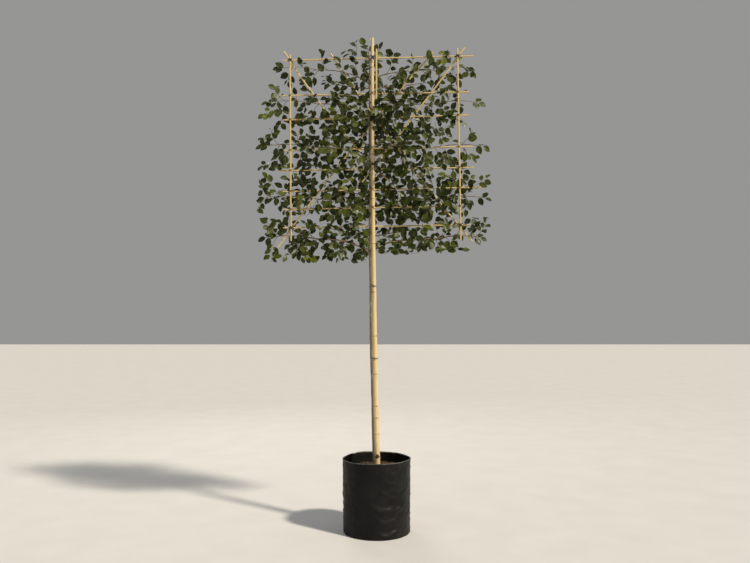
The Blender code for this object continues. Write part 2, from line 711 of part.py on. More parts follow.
def main():
    clear_scene()
    skins = make_materials()
    canes, mast = cane_courses(), mast_course()
    build_bag(skins["bag"])
    build_soil(skins["soil"], mast)
    build_object("mast", tube(*mast, MAST_SIDES), skins["bamboo"])
    for name, course in canes.items():
        build_object(name, tube(*course, CANE_SIDES), skins["bamboo"])

    build_object("trunk", trunk_shape(), skins["bark"])
    clearance = as_cutter(build_object("trunk_clearance", trunk_shape(GAP), skins["bark"]))
    bough_courses = {}
    for tier in range(len(TIER_HEIGHTS)):
        for side, word in ((-1, "left"), (1, "right")):
            path = bough_path(side, tier)
            course = (path, bough_radii(tier, len(path)))
            bough_courses[f"bough_{word}_{tier + 1}"] = course
    for name, course in bough_courses.items():
        cut(build_object(name, tube(*course, BOUGH_SIDES), skins["bark"]), clearance)

    trunk_line = [SOIL_TOP + 0.1 * k for k in range(26)]
    trunk_course = ([trunk_centre(z) for z in trunk_line], [trunk_radius(z) for z in trunk_line])
    ties = tie_shapes(canes, mast, trunk_course)
    for name, shape in ties.items():
        build_object(name, shape, skins["tie"])

    kept_clear = [*canes.values(), mast, *bough_courses.values()]
    limbs = [tube(path, [r + LIMB_CLEARANCE for r in radii], 8) for path, radii in kept_clear]
    limbs += [trunk_shape(LIMB_CLEARANCE), *ties.values()]
    limb_tree = tree_of(merged(limbs))
    for name, (seed, box, path) in mass_plans().items():
        mass = Mass(seed, box, limb_tree)
        mass.grow(path)
        fuse(name, mass.shapes, skins["leaf"])


main()
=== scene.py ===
"""The looks of the potted espalier tree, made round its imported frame.

Metres, +Z up. The front of the espalier faces -Y and +X is to its right, seen from there.
Courses of the canes, the trunk and the boughs are read from the frame's nodes. The crown keeps the
masses, boughs and stems of its solids and their reach. Within each mass, shoots fork on from the
stem towards the most open place, down to fine twigs with leaves of their real size.
"""

import math
import random
from itertools import combinations, pairwise, product

import bpy
import numpy as np
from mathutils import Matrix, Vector, noise
from mathutils.bvhtree import BVHTree


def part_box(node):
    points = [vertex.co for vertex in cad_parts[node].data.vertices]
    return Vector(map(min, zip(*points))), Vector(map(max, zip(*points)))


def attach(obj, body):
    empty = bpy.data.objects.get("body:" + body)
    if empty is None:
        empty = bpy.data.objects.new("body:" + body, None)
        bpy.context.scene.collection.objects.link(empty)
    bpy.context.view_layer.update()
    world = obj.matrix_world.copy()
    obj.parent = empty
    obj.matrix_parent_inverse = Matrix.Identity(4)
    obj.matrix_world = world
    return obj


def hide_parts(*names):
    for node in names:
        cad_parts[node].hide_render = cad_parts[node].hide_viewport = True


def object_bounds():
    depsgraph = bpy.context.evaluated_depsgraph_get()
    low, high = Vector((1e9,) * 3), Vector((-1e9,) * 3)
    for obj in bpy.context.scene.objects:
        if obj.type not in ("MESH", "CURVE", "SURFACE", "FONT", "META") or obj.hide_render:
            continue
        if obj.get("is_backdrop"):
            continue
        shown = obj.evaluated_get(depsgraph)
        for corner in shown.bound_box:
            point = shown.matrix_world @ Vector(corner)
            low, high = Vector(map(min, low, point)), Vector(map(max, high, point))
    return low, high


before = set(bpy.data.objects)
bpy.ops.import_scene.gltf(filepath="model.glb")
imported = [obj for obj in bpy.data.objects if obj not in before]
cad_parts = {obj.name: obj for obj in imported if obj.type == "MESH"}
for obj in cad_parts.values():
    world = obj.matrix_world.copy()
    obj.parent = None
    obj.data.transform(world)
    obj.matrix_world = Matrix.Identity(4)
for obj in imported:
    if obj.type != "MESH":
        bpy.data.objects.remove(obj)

cad_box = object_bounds()

# ---------------------------------------------------------------- driving dimensions

UP = Vector((0, 0, 1))
FRONT = Vector((0, -1, 0))
GOLDEN_ANGLE = math.radians(137.5)

CAMERA_PLACE = Vector((-0.011, -4.70, 1.371))
CAMERA_TILT = math.radians(2.69)  # upwards
FOCAL_PIXELS = 726
PHOTO_WIDTH_PIXELS = 750
SENSOR_WIDTH = 36  # millimetres
SUN_ROUND = math.radians(52)  # from the front towards the right
SUN_HEIGHT = math.radians(42)
TO_SUN = Vector((
    math.sin(SUN_ROUND) * math.cos(SUN_HEIGHT), -math.cos(SUN_ROUND) * math.cos(SUN_HEIGHT),
    math.sin(SUN_HEIGHT),
))
BACK_LIGHT_PLACE = Vector((-1.5, 4.5, 4.5))
BACK_LIGHT_TARGET = Vector((0, 0, 2))
FLOOR_REACH = 30
FLOOR_DROP = 0.0004  # under the bag, so that the two don't flicker

BAG_LIP = 0.001  # of the solid's rim
BAG_TAPER = 0.0035  # foot radius under rim radius
FILM = 0.0008  # one layer of the bag's film: its wall and rolled rim are a few layers thick
BAG_SEGMENTS = 240
BAG_RINGS = 96
SOIL_SEGMENTS = 160
SOIL_RINGS = 46
SOIL_FALL = 0.010  # the soil lies lower at the bag's wall
SOIL_SINK = 0.002  # of its lumpy surface, under the solid's
SOIL_CROWN_RADIUS = 0.11
CRUMB_COUNT = 2600
CRUMB_SIZE = (0.0016, 0.0062)
CRUMB_SHARES = (0.72, 0.25, 0.03)  # of dark crumbs, brown chips and pale grit

TRUNK_SIDES = 40
TRUNK_STEP = 0.007
TRUNK_SINK = 0.012  # its foot in the soil
TRUNK_RELIEF = 0.0012
SCAR_COUNT = 22  # of the shoots pruned off the stem
SCAR_SIZE = (0.006, 0.0095)
BOUGH_SCAR_SIZE = 0.02  # the trunk swells round each bough
BOUGH_SIDES = 18
BOUGH_STEP = 0.006
BOUGH_RELIEF = 0.0006
BOUGH_RISE = 0.10
RIGHT_BOUGH_LIFT = 0.028
BOUGH_KNEE = 0.11  # where a bough levels out, beyond its root
BOUGH_TAPER = 1.6  # root radius over tip radius
COLLAR = 0.55  # how much a bough swells where it leaves the trunk
COLLAR_LENGTH = 0.013

CANE_SIDES = 16
MAST_SIDES = 28
CANE_FIT = 0.965  # real cane over the corners of its solid
CANE_STEP = 0.02
CANE_CROOK = 0.0011  # how far a knuckle lies off the line at most
MAST_CROOK = 0.0010
CANE_HOLLOW = 0.5  # bore over radius, at a cut end
CANE_WELL = 0.012  # depth of the bore that shows
CANE_KNUCKLES = (0.14, 0.25)  # spacing along the thin canes
# Height of each knuckle of the mast, with the heading in degrees and the size of its bud scale.
MAST_KNUCKLES = {
    0.478: (-86, 0.020), 0.623: (-35, 0.005), 0.723: (-84, 0.007), 0.798: (-80, 0.007),
    1.0: (-140, 0.006), 1.24: (-48, 0.007), 1.52: (-112, 0.008), 1.83: (-60, 0.006),
    2.12: (-125, 0.006), 2.41: (-70, 0.006), 2.70: (-140, 0.005), 2.98: (-60, 0.005),
}
# A knuckle's profile: distance along in cane radii, and radius over the plain cane.
KNUCKLE_PROFILE = (
    (-1.3, 1.0), (-0.5, 1.03), (-0.16, 1.075), (-0.04, 1.02),
    (0.06, 1.02), (0.2, 1.08), (0.7, 1.03), (1.6, 1.0),
)
# A bud scale's outline: distance above the knuckle and half width, in sizes.
BUD_PROFILE = ((-0.5, 0.12), (-0.2, 0.55), (0.3, 0.72), (0.9, 0.50), (1.6, 0.08))
BUD_SINK = 0.42  # how deep its middle lies under the cane's skin, in sizes

CORD_RADIUS = 0.0016  # of the black tubing that ties the frame
WIRE_RADIUS = 0.0008
WIRED_CANES = range(2, 8)  # numbers of the cross canes that wire ties to the posts
CORD_PITCH = 2.1  # from one turn to the next, in radii of the cord
LOOP_POINTS = 28
KNOT_POINTS = 36
KNOT_LIFT = 0.003  # of a knot's middle, off the cane it sits on
CORNER_KNOT = 0.009
# Ties on the trunk and the mast: canes they hold too, cord over CORD_RADIUS, turns, size of the knot.
TRUNK_TIES = {
    "trunk_tie_1": ((), 0.7, 2, 0.006),
    "trunk_tie_2": ((), 0.7, 2, 0.006),
    "trunk_tie_3": (("diagonal_left_short", "diagonal_right_short"), 1.0, 5, 0.017),
    "trunk_tie_4": (("diagonal_left_long", "diagonal_right_long"), 1.3, 7, 0.030),
}
CROSSING_TIES = {
    "tie_mast_head": ("mast", "cross_cane_1"),
    "tie_diagonal": ("diagonal_left_short", "cross_cane_2"),
    "tie_top_left": ("upright_left", "cross_cane_1", "diagonal_left_short"),
    "tie_top_right": ("upright_right", "cross_cane_1", "diagonal_right_short"),
    "tie_low_left": ("upright_left", "cross_cane_8", "diagonal_right_long"),
    "tie_low_right": ("upright_right", "cross_cane_8", "diagonal_left_long"),
}

TIER_FLOORS = (1.735, 1.989, 2.273, 2.557, 2.841, 3.125)
TIER_COUNT = len(TIER_FLOORS) - 1
TIER_STAGGER = 0.025  # outer masses meet higher, and inner ones lower, than the floors
CROWN_DROOP = {"left": 0.03, "right": -0.03}  # of the lowest masses, under the first floor
SPLIT_X = 0.375  # between the inner and outer masses
LEADER_X = (-0.115, 0.045)  # the leader's mass, between the top tier's inner ones
CROWN_FRONT_Y = -0.205
CROWN_BACK_Y = 0.170
STEM_RADII = (0.0040, 0.0022)
STEM_ROOT = 0.025  # how far a stem runs square to the limb it grows from
SHOOT_RADII = (0.0018, 0.0010)
SHOOT_THICKNESS = (1.0, 0.75, 0.6)  # of a shoot on a limb, on a shoot, and beyond
SHOOT_REACH = (0.035, 0.17)
SHOOT_STEP = 0.022
ROOT_SPACING = 0.012
ROOT_TRIALS = 8
ORDER_COST = 0.015  # metres that a shoot goes further rather than fork once more
PLACE_TRIALS = 16  # of which the most open place is grown towards
DEPTH_PEAK = 0.36  # where between front and back most of these places lie
WALL_GAP = 0.010  # between a shoot's tip and the end of its mass's space
LIMB_GAP = 0.014
LEAF_TRIALS = 9
LEAF_LENGTH = (0.040, 0.063)
LEAF_WIDTH = 0.70  # of its length
LEAF_STATIONS = (0.07, 0.24, 0.46, 0.70, 0.88)
LEAF_OUTLINE = (0.40, 0.85, 1.00, 0.78, 0.37)  # half width at each station, over the widest
LEAF_WIDEST = 0.45
LEAF_SPACING = 0.022
LEAF_BODY = 0.0006  # thickness at the midrib
RIB_WIDTH = 0.022  # from its middle to its side, of the leaf's length
PETIOLE = (0.004, 0.008)
STALK_RADII = (0.0007, 0.0005, 0.0005)
LEAF_GAP = 0.032  # between neighbouring leaves in a place of fullness 1
PATIENCE = 22  # tries in a row without a shoot, after which a mass is full
CELL = 0.06  # of the grid that near neighbours are looked up in
# How full the crown is, at each height, at distances across from the far left to the far right.
FULLNESS_X = (-0.70, -0.49, -0.29, -0.12, 0.06, 0.27, 0.47, 0.67)
FULLNESS = {
    1.72: (0.05, 0.42, 0.36, 0.45, 0.26, 0.46, 0.24, 0.06),
    1.85: (0.10, 0.58, 0.48, 0.62, 0.52, 0.70, 0.34, 0.12),
    2.13: (0.30, 0.54, 0.86, 0.84, 0.98, 0.90, 1.02, 0.20),
    2.42: (0.16, 0.60, 0.68, 0.76, 0.76, 0.50, 0.34, 0.06),
    2.70: (0.17, 0.50, 0.50, 1.00, 1.25, 0.50, 0.50, 0.05),
    2.90: (0.05, 0.45, 0.24, 0.68, 0.70, 0.40, 0.64, 0.04),
    3.04: (0.02, 0.26, 0.08, 0.42, 0.50, 0.28, 0.48, 0.03),
    3.12: (0.01, 0.05, 0.02, 0.60, 0.50, 0.05, 0.10, 0.01),
    3.15: (0.01, 0.01, 0.01, 0.02, 0.02, 0.01, 0.01, 0.01),
}
# Lengths of the frame that the leaves leave in view, as shares of each member from its upper end.
KEPT_IN_VIEW = (
    ("mast", 0.0, 0.14), ("mast", 0.21, 1.0), ("upright_left", 0.0, 1.0), ("upright_right", 0.0, 1.0),
    ("diagonal_left_short", 0.0, 0.42), ("diagonal_right_short", 0.0, 0.46),
    ("diagonal_right_long", 0.68, 1.0), ("diagonal_left_long", 0.84, 1.0),
)
# Lengths that they leave in the sun.
KEPT_IN_SUN = (
    ("mast", 0.0, 0.14), ("mast", 0.32, 0.52), ("upright_left", 0.0, 1.0), ("upright_right", 0.0, 1.0),
)
KEPT_MARGIN = 0.003  # beside a member in view, and inside one in the sun

LEAF_DARK, LEAF_MID, LEAF_YOUNG, LEAF_UNDER, LEAF_RIB = range(5)
TINTS = ((LEAF_DARK, 0.60), (LEAF_MID, 0.365), (LEAF_YOUNG, 0.035))

# Creases that the bag's front shows: degrees round from the front to the right, height, half length
# round in radians, how far its right end is raised, how far it stands out, and half its height.
CREASES = (
    (16, 0.200, 0.46, -0.004, 0.0066, 0.021),
    (34, 0.180, 0.26, 0.014, 0.0048, 0.017),
    (-6, 0.226, 0.22, 0.004, 0.0034, 0.015),
    (22, 0.126, 0.44, 0.006, 0.0052, 0.021),
    (22, 0.300, 0.36, 0.006, 0.0034, 0.017),
    (30, 0.350, 0.30, -0.006, 0.0030, 0.016),
    (32, 0.262, 0.30, 0.004, 0.0032, 0.015),
    (34, 0.420, 0.18, 0.044, 0.0056, 0.018),
    (10, 0.416, 0.28, 0.018, 0.0034, 0.017),
    (22, 0.046, 0.34, 0.012, 0.0058, 0.015),
    (40, 0.026, 0.16, 0.008, 0.0044, 0.009),
)
CREASE_SAG = 0.045  # of its middle, for each radian of half length
# The creases on its sides and back are drawn at random, most of them low on the wall.
RANDOM_CREASES = 44
LOW_CREASES = 0.6
CREASE_HEIGHTS = ((0.02, 0.24), (0.24, 0.44))
CREASE_RANGES = ((52, 290), (0.08, 0.34), (-0.02, 0.02), (0.0010, 0.0032), (0.008, 0.016))
# Upright tucks below the bag's rim, pressed inward: degrees round, depth, half width in radians, length.
TUCKS = (
    (-137, 0.0065, 0.055, 0.11),
    (-112, 0.0030, 0.045, 0.07),
    (150, 0.0035, 0.050, 0.08),
    (78, 0.0026, 0.040, 0.06),
)


# ---------------------------------------------------------------- materials


class Finish:
    """A material's nodes: one Principled shader, and helpers that wire patterns to it."""

    def __init__(self, name, roughness, coordinates="Object", specular=0.5):
        self.material = bpy.data.materials.new(name)
        self.material.use_nodes = True
        self.tree = self.material.node_tree
        self.shader = self.tree.nodes["Principled BSDF"]
        self.shader.inputs["Roughness"].default_value = roughness
        self.shader.inputs["Specular IOR Level"].default_value = specular
        self.place = self.node("TexCoord").outputs[coordinates]

    def feed(self, socket, value):
        """Sets a socket to a value, or links it where the value is another node's output."""
        if isinstance(value, bpy.types.NodeSocket):
            self.tree.links.new(value, socket)
        else:
            socket.default_value = (*value, 1) if socket.type == "RGBA" else value

    def node(self, kind, inputs=(), **settings):
        made = self.tree.nodes.new("ShaderNode" + kind)
        for key, value in settings.items():
            setattr(made, key, value)
        for key, value in dict(inputs).items():
            self.feed(made.inputs[key], value)
        return made

    def noise(self, scale, detail=4.0, roughness=0.55, stretch=(1, 1, 1)):
        place = self.node("Mapping", {"Vector": self.place, "Scale": stretch}).outputs["Vector"]
        inputs = {"Vector": place, "Scale": scale, "Detail": detail, "Roughness": roughness}
        return self.node("TexNoise", inputs).outputs["Fac"]

    def ramp(self, factor, *stops):
        """stops are two (position, colour), each colour linear RGB or one grey."""
        ramp = self.node("ValToRGB", {"Fac": factor})
        for element, (position, colour) in zip(ramp.color_ramp.elements, stops):
            element.position = position
            element.color = (*colour, 1) if isinstance(colour, tuple) else (colour, colour, colour, 1)
        return ramp.outputs["Color"]

    def blend(self, factor, first, second):
        return self.node("Mix", {0: factor, 6: first, 7: second}, data_type="RGBA").outputs[2]

    def colour(self, output):
        self.feed(self.shader.inputs["Base Color"], output)

    def rough(self, factor, low, high):
        spread = self.node("MapRange", {"Value": factor, "To Min": low, "To Max": high})
        self.feed(self.shader.inputs["Roughness"], spread.outputs["Result"])

    def bump(self, height, distance, strength=1.0):
        """Bumps given one after another add up."""
        bump = self.node("Bump", {"Height": height, "Distance": distance, "Strength": strength})
        socket = self.shader.inputs["Normal"]
        if socket.is_linked:
            self.feed(bump.inputs["Normal"], socket.links[0].from_socket)
        self.feed(socket, bump.outputs["Normal"])


def grained(name, roughness, grain, dark, light, relief=None, depth=0.0, strength=0.0):
    """A plain skin: the noise grain blends two tones, and the noise relief is its bump."""
    skin = Finish(name, roughness)
    skin.colour(skin.ramp(skin.noise(*grain), dark, light))
    if relief:
        skin.bump(skin.noise(*relief), depth, strength)
    return skin.material


def film_skin():
    """Black polythene: a soft sheen, fine crinkles and a little dust."""
    skin = Finish("black_film", 0.48, specular=0.12)
    dust = skin.noise(7, 5, 0.6)
    skin.colour(skin.ramp(dust, (0.35, (0.0062, 0.0061, 0.0064)), (0.75, (0.0140, 0.0137, 0.0133))))
    skin.rough(skin.noise(26, 4), 0.38, 0.54)
    skin.bump(skin.noise(38, 3, 0.5, (1, 1, 2.2)), 0.0016, 0.5)
    skin.bump(skin.noise(420, 2), 0.0003, 0.35)
    return skin.material


def soil_skin(name, dark, light):
    return grained(name, 0.95, (160, 6, 0.7), (0.3, dark), (0.72, light), (520, 4, 0.7), 0.0012, 0.9)


def bark_skin(name, dark, light, lichen):
    """Young bark: grey-brown, streaked lengthwise, with pale lenticels and grey bloom."""
    skin = Finish(name, 0.8)
    streaks = skin.noise(75, 6, 0.65, (1, 1, 0.16))
    base = skin.ramp(streaks, (0.32, dark), (0.7, light))
    patches = skin.ramp(skin.noise(16, 5, 0.7), (0.52, 0.0), (0.68, 1.0))
    spots = skin.ramp(skin.noise(260, 2, 0.5, (1, 1, 2.6)), (0.64, 0.0), (0.70, 1.0))
    skin.colour(skin.blend(spots, skin.blend(patches, base, lichen), tuple(1.25 * c for c in light)))
    skin.rough(streaks, 0.68, 0.92)
    skin.bump(skin.noise(120, 6, 0.7, (1, 1, 0.22)), 0.0012, 0.8)
    skin.bump(spots, 0.0005, 0.7)
    return skin.material


def bamboo_skin(name, base, shade, speck, gloss=0.38):
    """Pale straw cane with streaks, weathered patches and brown specks. UVs: metres round and along."""
    skin = Finish(name, gloss, "UV")
    streaks = skin.noise(1, 4, 0.6, (900, 14, 1))
    patches = skin.noise(1, 5, 0.6, (60, 9, 1))
    straw = skin.ramp(streaks, (0.3, shade), (0.62, base))
    aged = skin.ramp(patches, (0.50, 0.0), (0.80, 0.75))
    specks = skin.ramp(skin.noise(1, 4, 0.7, (190, 75, 1)), (0.640, 0.0), (0.685, 0.92))
    skin.colour(skin.blend(specks, skin.blend(aged, straw, tuple(0.72 * c for c in shade)), speck))
    skin.rough(patches, gloss - 0.06, gloss + 0.2)
    skin.bump(streaks, 0.00025, 0.5)
    return skin.material


def leaf_skin(name, dark, light, roughness, ripple=0.0004):
    """A blade with its colour a little uneven, and veins that pucker it."""
    skin = Finish(name, roughness, specular=0.25)
    skin.colour(skin.ramp(skin.noise(34, 5, 0.6), (0.3, dark), (0.7, light)))
    skin.rough(skin.noise(90, 3), roughness - 0.07, roughness + 0.12)
    skin.bump(skin.noise(230, 3, 0.5), ripple, 0.6)
    return skin.material


def cane_end_skin():
    """A cut cane's wall, with its fibres in section."""
    tones = (0.3, (0.20, 0.13, 0.06)), (0.7, (0.62, 0.46, 0.25))
    return grained("cane_end", 0.85, (1600, 3, 0.6), *tones, (1600, 3, 0.6), 0.0004, 0.6)


def make_skins():
    """Every material, by what it is for. The leaves' are in the order of LEAF_DARK to LEAF_RIB."""
    # The hem's skin is a much paler grey than the black film: a painted highlight along the bag's rim.
    film_edge_painted_highlight = grained(
        "film_edge_painted_highlight", 0.6, (45, 5, 0.65), (0.35, (0.055, 0.054, 0.052)), (0.65, (0.200, 0.196, 0.186)),
        (300, 3), 0.0004, 0.5,
    )
    tubing = grained(
        "black_tie", 0.5, (240, 4), (0.4, (0.008, 0.008, 0.008)), (0.8, (0.026, 0.025, 0.023)),
        (900, 2), 0.0003, 0.4,
    )
    return {
        "film": [film_skin(), film_edge_painted_highlight],
        "soil": [soil_skin("soil", (0.006, 0.004, 0.003), (0.032, 0.020, 0.012))],
        "crumbs": [
            soil_skin("crumb_dark", (0.006, 0.004, 0.003), (0.024, 0.015, 0.009)),
            soil_skin("crumb_brown", (0.028, 0.015, 0.008), (0.095, 0.054, 0.027)),
            soil_skin("crumb_pale", (0.20, 0.14, 0.08), (0.42, 0.33, 0.22)),
        ],
        "bark": [bark_skin("bark", (0.120, 0.084, 0.050), (0.340, 0.262, 0.170), (0.340, 0.320, 0.220))],
        "twigs": [
            bark_skin("twig_bark", (0.10, 0.068, 0.036), (0.23, 0.165, 0.095), (0.22, 0.19, 0.13)),
            leaf_skin("petiole", (0.060, 0.080, 0.020), (0.120, 0.140, 0.040), 0.5),
        ],
        "mast": [
            bamboo_skin("bamboo", (0.73, 0.58, 0.315), (0.54, 0.40, 0.190), (0.13, 0.070, 0.028)),
            bamboo_skin("bamboo_knuckle", (0.52, 0.37, 0.17), (0.30, 0.19, 0.075), (0.09, 0.05, 0.02), 0.6),
            cane_end_skin(),
            bamboo_skin(
                "bud_scale", (0.085, 0.050, 0.026), (0.040, 0.023, 0.012), (0.02, 0.012, 0.006), 0.75
            ),
        ],
        "canes": [
            bamboo_skin("thin_bamboo", (0.70, 0.54, 0.235), (0.47, 0.34, 0.130), (0.12, 0.062, 0.024)),
            bamboo_skin("thin_knuckle", (0.40, 0.26, 0.10), (0.24, 0.145, 0.05), (0.07, 0.04, 0.02), 0.6),
            cane_end_skin(),
        ],
        "ties": [tubing],
        "leaves": [
            leaf_skin("leaf_dark", (0.0095, 0.0155, 0.0010), (0.023, 0.034, 0.002), 0.36),
            leaf_skin("leaf_mid", (0.029, 0.039, 0.002), (0.056, 0.071, 0.004), 0.38),
            leaf_skin("leaf_young", (0.062, 0.080, 0.005), (0.118, 0.138, 0.010), 0.42),
            leaf_skin("leaf_underside", (0.031, 0.042, 0.006), (0.054, 0.068, 0.012), 0.62, 0.0005),
            leaf_skin("leaf_rib", (0.058, 0.072, 0.014), (0.105, 0.120, 0.026), 0.5),
        ],
        "floor": grained("studio_floor", 0.8, (3, 4), (0.3, 0.60), (0.7, 0.64)),
    }


# ---------------------------------------------------------------- shapes


def mix(pair, share):
    low, high = pair
    return low + (high - low) * share


def jitter(rng, amount):
    return Vector([rng.uniform(-amount, amount) for _ in range(3)])


def turned(x, y, angle):
    c, s = math.cos(angle), math.sin(angle)
    return x * c - y * s, x * s + y * c


def swung(across, other, angle):
    """The direction at an angle from across towards other."""
    return across * math.cos(angle) + other * math.sin(angle)


def noise_at(place, *scales):
    return noise.noise(Vector([c * scale for c, scale in zip(place, scales)]))


def put(name, data, **settings):
    """A new object in the scene."""
    made = bpy.data.objects.new(name, data)
    for key, value in settings.items():
        setattr(made, key, value)
    bpy.context.scene.collection.objects.link(made)
    return made


def bands(rings, sides, closed=True):
    """Faces from ring to ring of a row of rings of points, and over its ends where it is closed."""
    faces = []
    for near in range(0, (rings - 1) * sides, sides):
        far = near + sides
        for k in range(sides):
            step = (k + 1) % sides
            faces.append((near + k, near + step, far + step, far + k))
    if closed:
        last = (rings - 1) * sides
        faces += [tuple(reversed(range(sides))), tuple(range(last, last + sides))]
    return faces


class Shape:
    """Points, and faces that each have a skin number, with UVs in metres at their corners."""

    def __init__(self):
        self.points, self.faces, self.skins, self.uvs = [], [], [], []

    def add(self, points, faces, skin=0, uvs=None):
        start = len(self.points)
        self.points.extend(points)
        self.faces.extend(tuple(start + i for i in face) for face in faces)
        self.skins.extend([skin] * len(faces) if isinstance(skin, int) else skin)
        self.uvs.extend(uvs or [((0.0, 0.0),) * len(face) for face in faces])
        return self

    def add_tube(self, path, radii, sides, skin=0, relief=None, closed=True):
        """relief(point) is how far the tube's surface stands out there."""
        points, uvs, runs, run = [], [], [], 0.0
        for i, ((across, other), centre, radius) in enumerate(zip(axes_along(path), path, radii)):
            run += (centre - path[i - 1]).length if i else 0
            runs.append(run)
            for k in range(sides):
                angle = 2 * math.pi * k / sides
                outward = swung(across, other, angle)
                point = centre + outward * radius
                points.append(point + outward * relief(point) if relief else point)
        girth = 2 * math.pi * max(radii) / sides
        for low, high in pairwise(runs):
            for k in range(sides):
                left, right = k * girth, (k + 1) * girth
                uvs.append(((left, low), (right, low), (right, high), (left, high)))
        if closed:
            uvs += [((0.0, 0.0),) * sides] * 2
        return self.add(points, bands(len(path), sides, closed), skin, uvs)

    def tree(self):
        return BVHTree.FromPolygons(self.points, self.faces)

    def make_piece(self, name, skins, slot, node=None, crease=40):
        """Shows the shape, in place of node's solid if one is named."""
        mesh = bpy.data.meshes.new(name)
        mesh.from_pydata([tuple(p) for p in self.points], [], self.faces)
        for skin in skins:
            mesh.materials.append(skin)
        mesh.polygons.foreach_set("material_index", self.skins)
        layer = mesh.uv_layers.new(name="metres")
        layer.uv.foreach_set("vector", np.array([c for face in self.uvs for uv in face for c in uv]))
        mesh.shade_smooth()
        mesh.set_sharp_from_angle(angle=math.radians(crease))
        piece = put(name, mesh)
        if node:
            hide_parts(node)
        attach(piece, "root")


def axes_along(path):
    """(across, other) at each point of path: two axes square to it, carried along without twist."""
    axes, across = [], FRONT
    for i in range(len(path)):
        along = (path[min(i + 1, len(path) - 1)] - path[max(i - 1, 0)]).normalized()
        across = across - along * across.dot(along)
        if across.length < 0.05:
            across = UP.cross(along) if abs(along.z) < 0.9 else FRONT - along * FRONT.dot(along)
        across = across.normalized()
        axes.append((across, along.cross(across)))
    return axes


def smooth(path, steps):
    """A Catmull-Rom curve through path, with steps points to each span."""
    ends = [path[0] * 2 - path[1], *path, path[-1] * 2 - path[-2]]
    curve = []
    for a, b, c, d in zip(ends, ends[1:], ends[2:], ends[3:]):
        for k in range(steps):
            t = k / steps
            curve.append(0.5 * (
                2 * b + (c - a) * t + (2 * a - 5 * b + 4 * c - d) * t**2 + (3 * b - a - 3 * c + d) * t**3
            ))
    return [*curve, path[-1]]


def bent(root, knee, tip, spans):
    """A curve from root to tip, drawn towards knee."""
    shares = [k / spans for k in range(spans + 1)]
    return [root.lerp(knee, t).lerp(knee.lerp(tip, t), t) for t in shares]


def length_of(path):
    return sum((b - a).length for a, b in pairwise(path))


def along_path(path, share):
    """(point, direction) at a share of the path's points."""
    place = min(max(share, 0), 1) * (len(path) - 1)
    i = min(int(place), len(path) - 2)
    return path[i].lerp(path[i + 1], place - i), (path[i + 1] - path[i]).normalized()


# ---------------------------------------------------------------- courses, read from the frame


def course_of(node):
    """(middles, radii) of the rings of a straight or slightly bowed tube's solid, low or left end first."""
    places = {tuple(round(c, 6) for c in v.co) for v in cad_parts[node].data.vertices}
    points = np.array(sorted(places))
    middle = points.mean(0)
    axis = np.linalg.svd(points - middle)[2][0]
    axis *= np.sign(axis[np.argmax(abs(axis))])
    reach = (points - middle) @ axis
    order = np.argsort(reach)
    breaks = np.nonzero(np.diff(reach[order]) > 0.002)[0] + 1
    middles, radii = [], []
    for ring in np.split(points[order], breaks):
        middles.append(Vector(ring.mean(0)))
        radii.append(float(np.linalg.norm(ring - ring.mean(0), axis=1).mean()))
    return middles, radii


class Trunk:
    """The trunk's middle and radius at any height."""

    def __init__(self):
        self.middles, self.radii = course_of("trunk")
        self.heights = [p.z for p in self.middles]
        self.foot, self.tip = self.heights[0], self.heights[-1]

    def centre(self, z):
        return Vector((float(np.interp(z, self.heights, [p.x for p in self.middles])), 0, z))

    def radius(self, z):
        return float(np.interp(z, self.heights, self.radii))


def bough_path(trunk, word, tier):
    """A bough rises from the trunk and levels out behind the canes. (path, tip radius)"""
    side = -1 if word == "left" else 1
    middles, radii = course_of(f"bough_{word}_{tier + 1}")
    end = 0 if side < 0 else -1
    tip = middles[end]
    root = trunk.centre(tip.z - BOUGH_RISE + (RIGHT_BOUGH_LIFT if side > 0 else 0))
    knee = Vector((root.x + side * BOUGH_KNEE, tip.y, tip.z))
    return bent(root, knee, tip, round((tip - root).length / BOUGH_STEP)), radii[end]


# ---------------------------------------------------------------- trunk and boughs


def bark_relief(depth):
    """Lengthwise ridges, slow lumps and small raised lenticels."""

    def relief(point):
        ridges = noise_at(point, 150, 150, 20)
        lumps = noise_at(point, 28, 28, 14)
        dash = noise_at(point, 90, 90, 330)
        return depth * (0.5 * ridges + 1.0 * lumps + 0.8 * max(0, dash - 0.32))

    return relief


def stem_scars(rng, trunk, boughs):
    """(place, size) of the scars of pruned shoots, and of the swelling round each bough's root."""
    scars = []
    for k in range(SCAR_COUNT):
        z = mix((trunk.foot + 0.12, trunk.tip - 0.25), (k + rng.random()) / SCAR_COUNT)
        angle = k * GOLDEN_ANGLE
        outward = Vector((math.cos(angle), math.sin(angle), 0))
        scars.append((trunk.centre(z) + outward * trunk.radius(z), mix(SCAR_SIZE, rng.random())))
    return scars + [(path[2], BOUGH_SCAR_SIZE) for path, _ in boughs]


def build_trunk(trunk, boughs, skins):
    scars = stem_scars(random.Random(3), trunk, boughs)
    ridges = bark_relief(TRUNK_RELIEF)

    def relief(point):
        out = ridges(point)
        for place, size in scars:
            near = (point - place).length / size
            if near < 2.2:
                out += size * (0.30 * math.exp(-near * near) - 0.16 * math.exp(-((near / 0.45) ** 2)))
        return out

    count = round((trunk.tip - trunk.foot) / TRUNK_STEP)
    heights = [mix((trunk.foot - TRUNK_SINK, trunk.tip), k / count) for k in range(count + 1)]
    path = []
    for z in heights:
        sway = Vector((0.0012 * math.sin(9 * z), 0.0008 * math.sin(7 * z + 1), 0))
        path.append(trunk.centre(z) + sway)
    shape = Shape().add_tube(path, [trunk.radius(z) for z in heights], TRUNK_SIDES, 0, relief)
    shape.make_piece("trunk_bark", skins, "bark", "trunk")


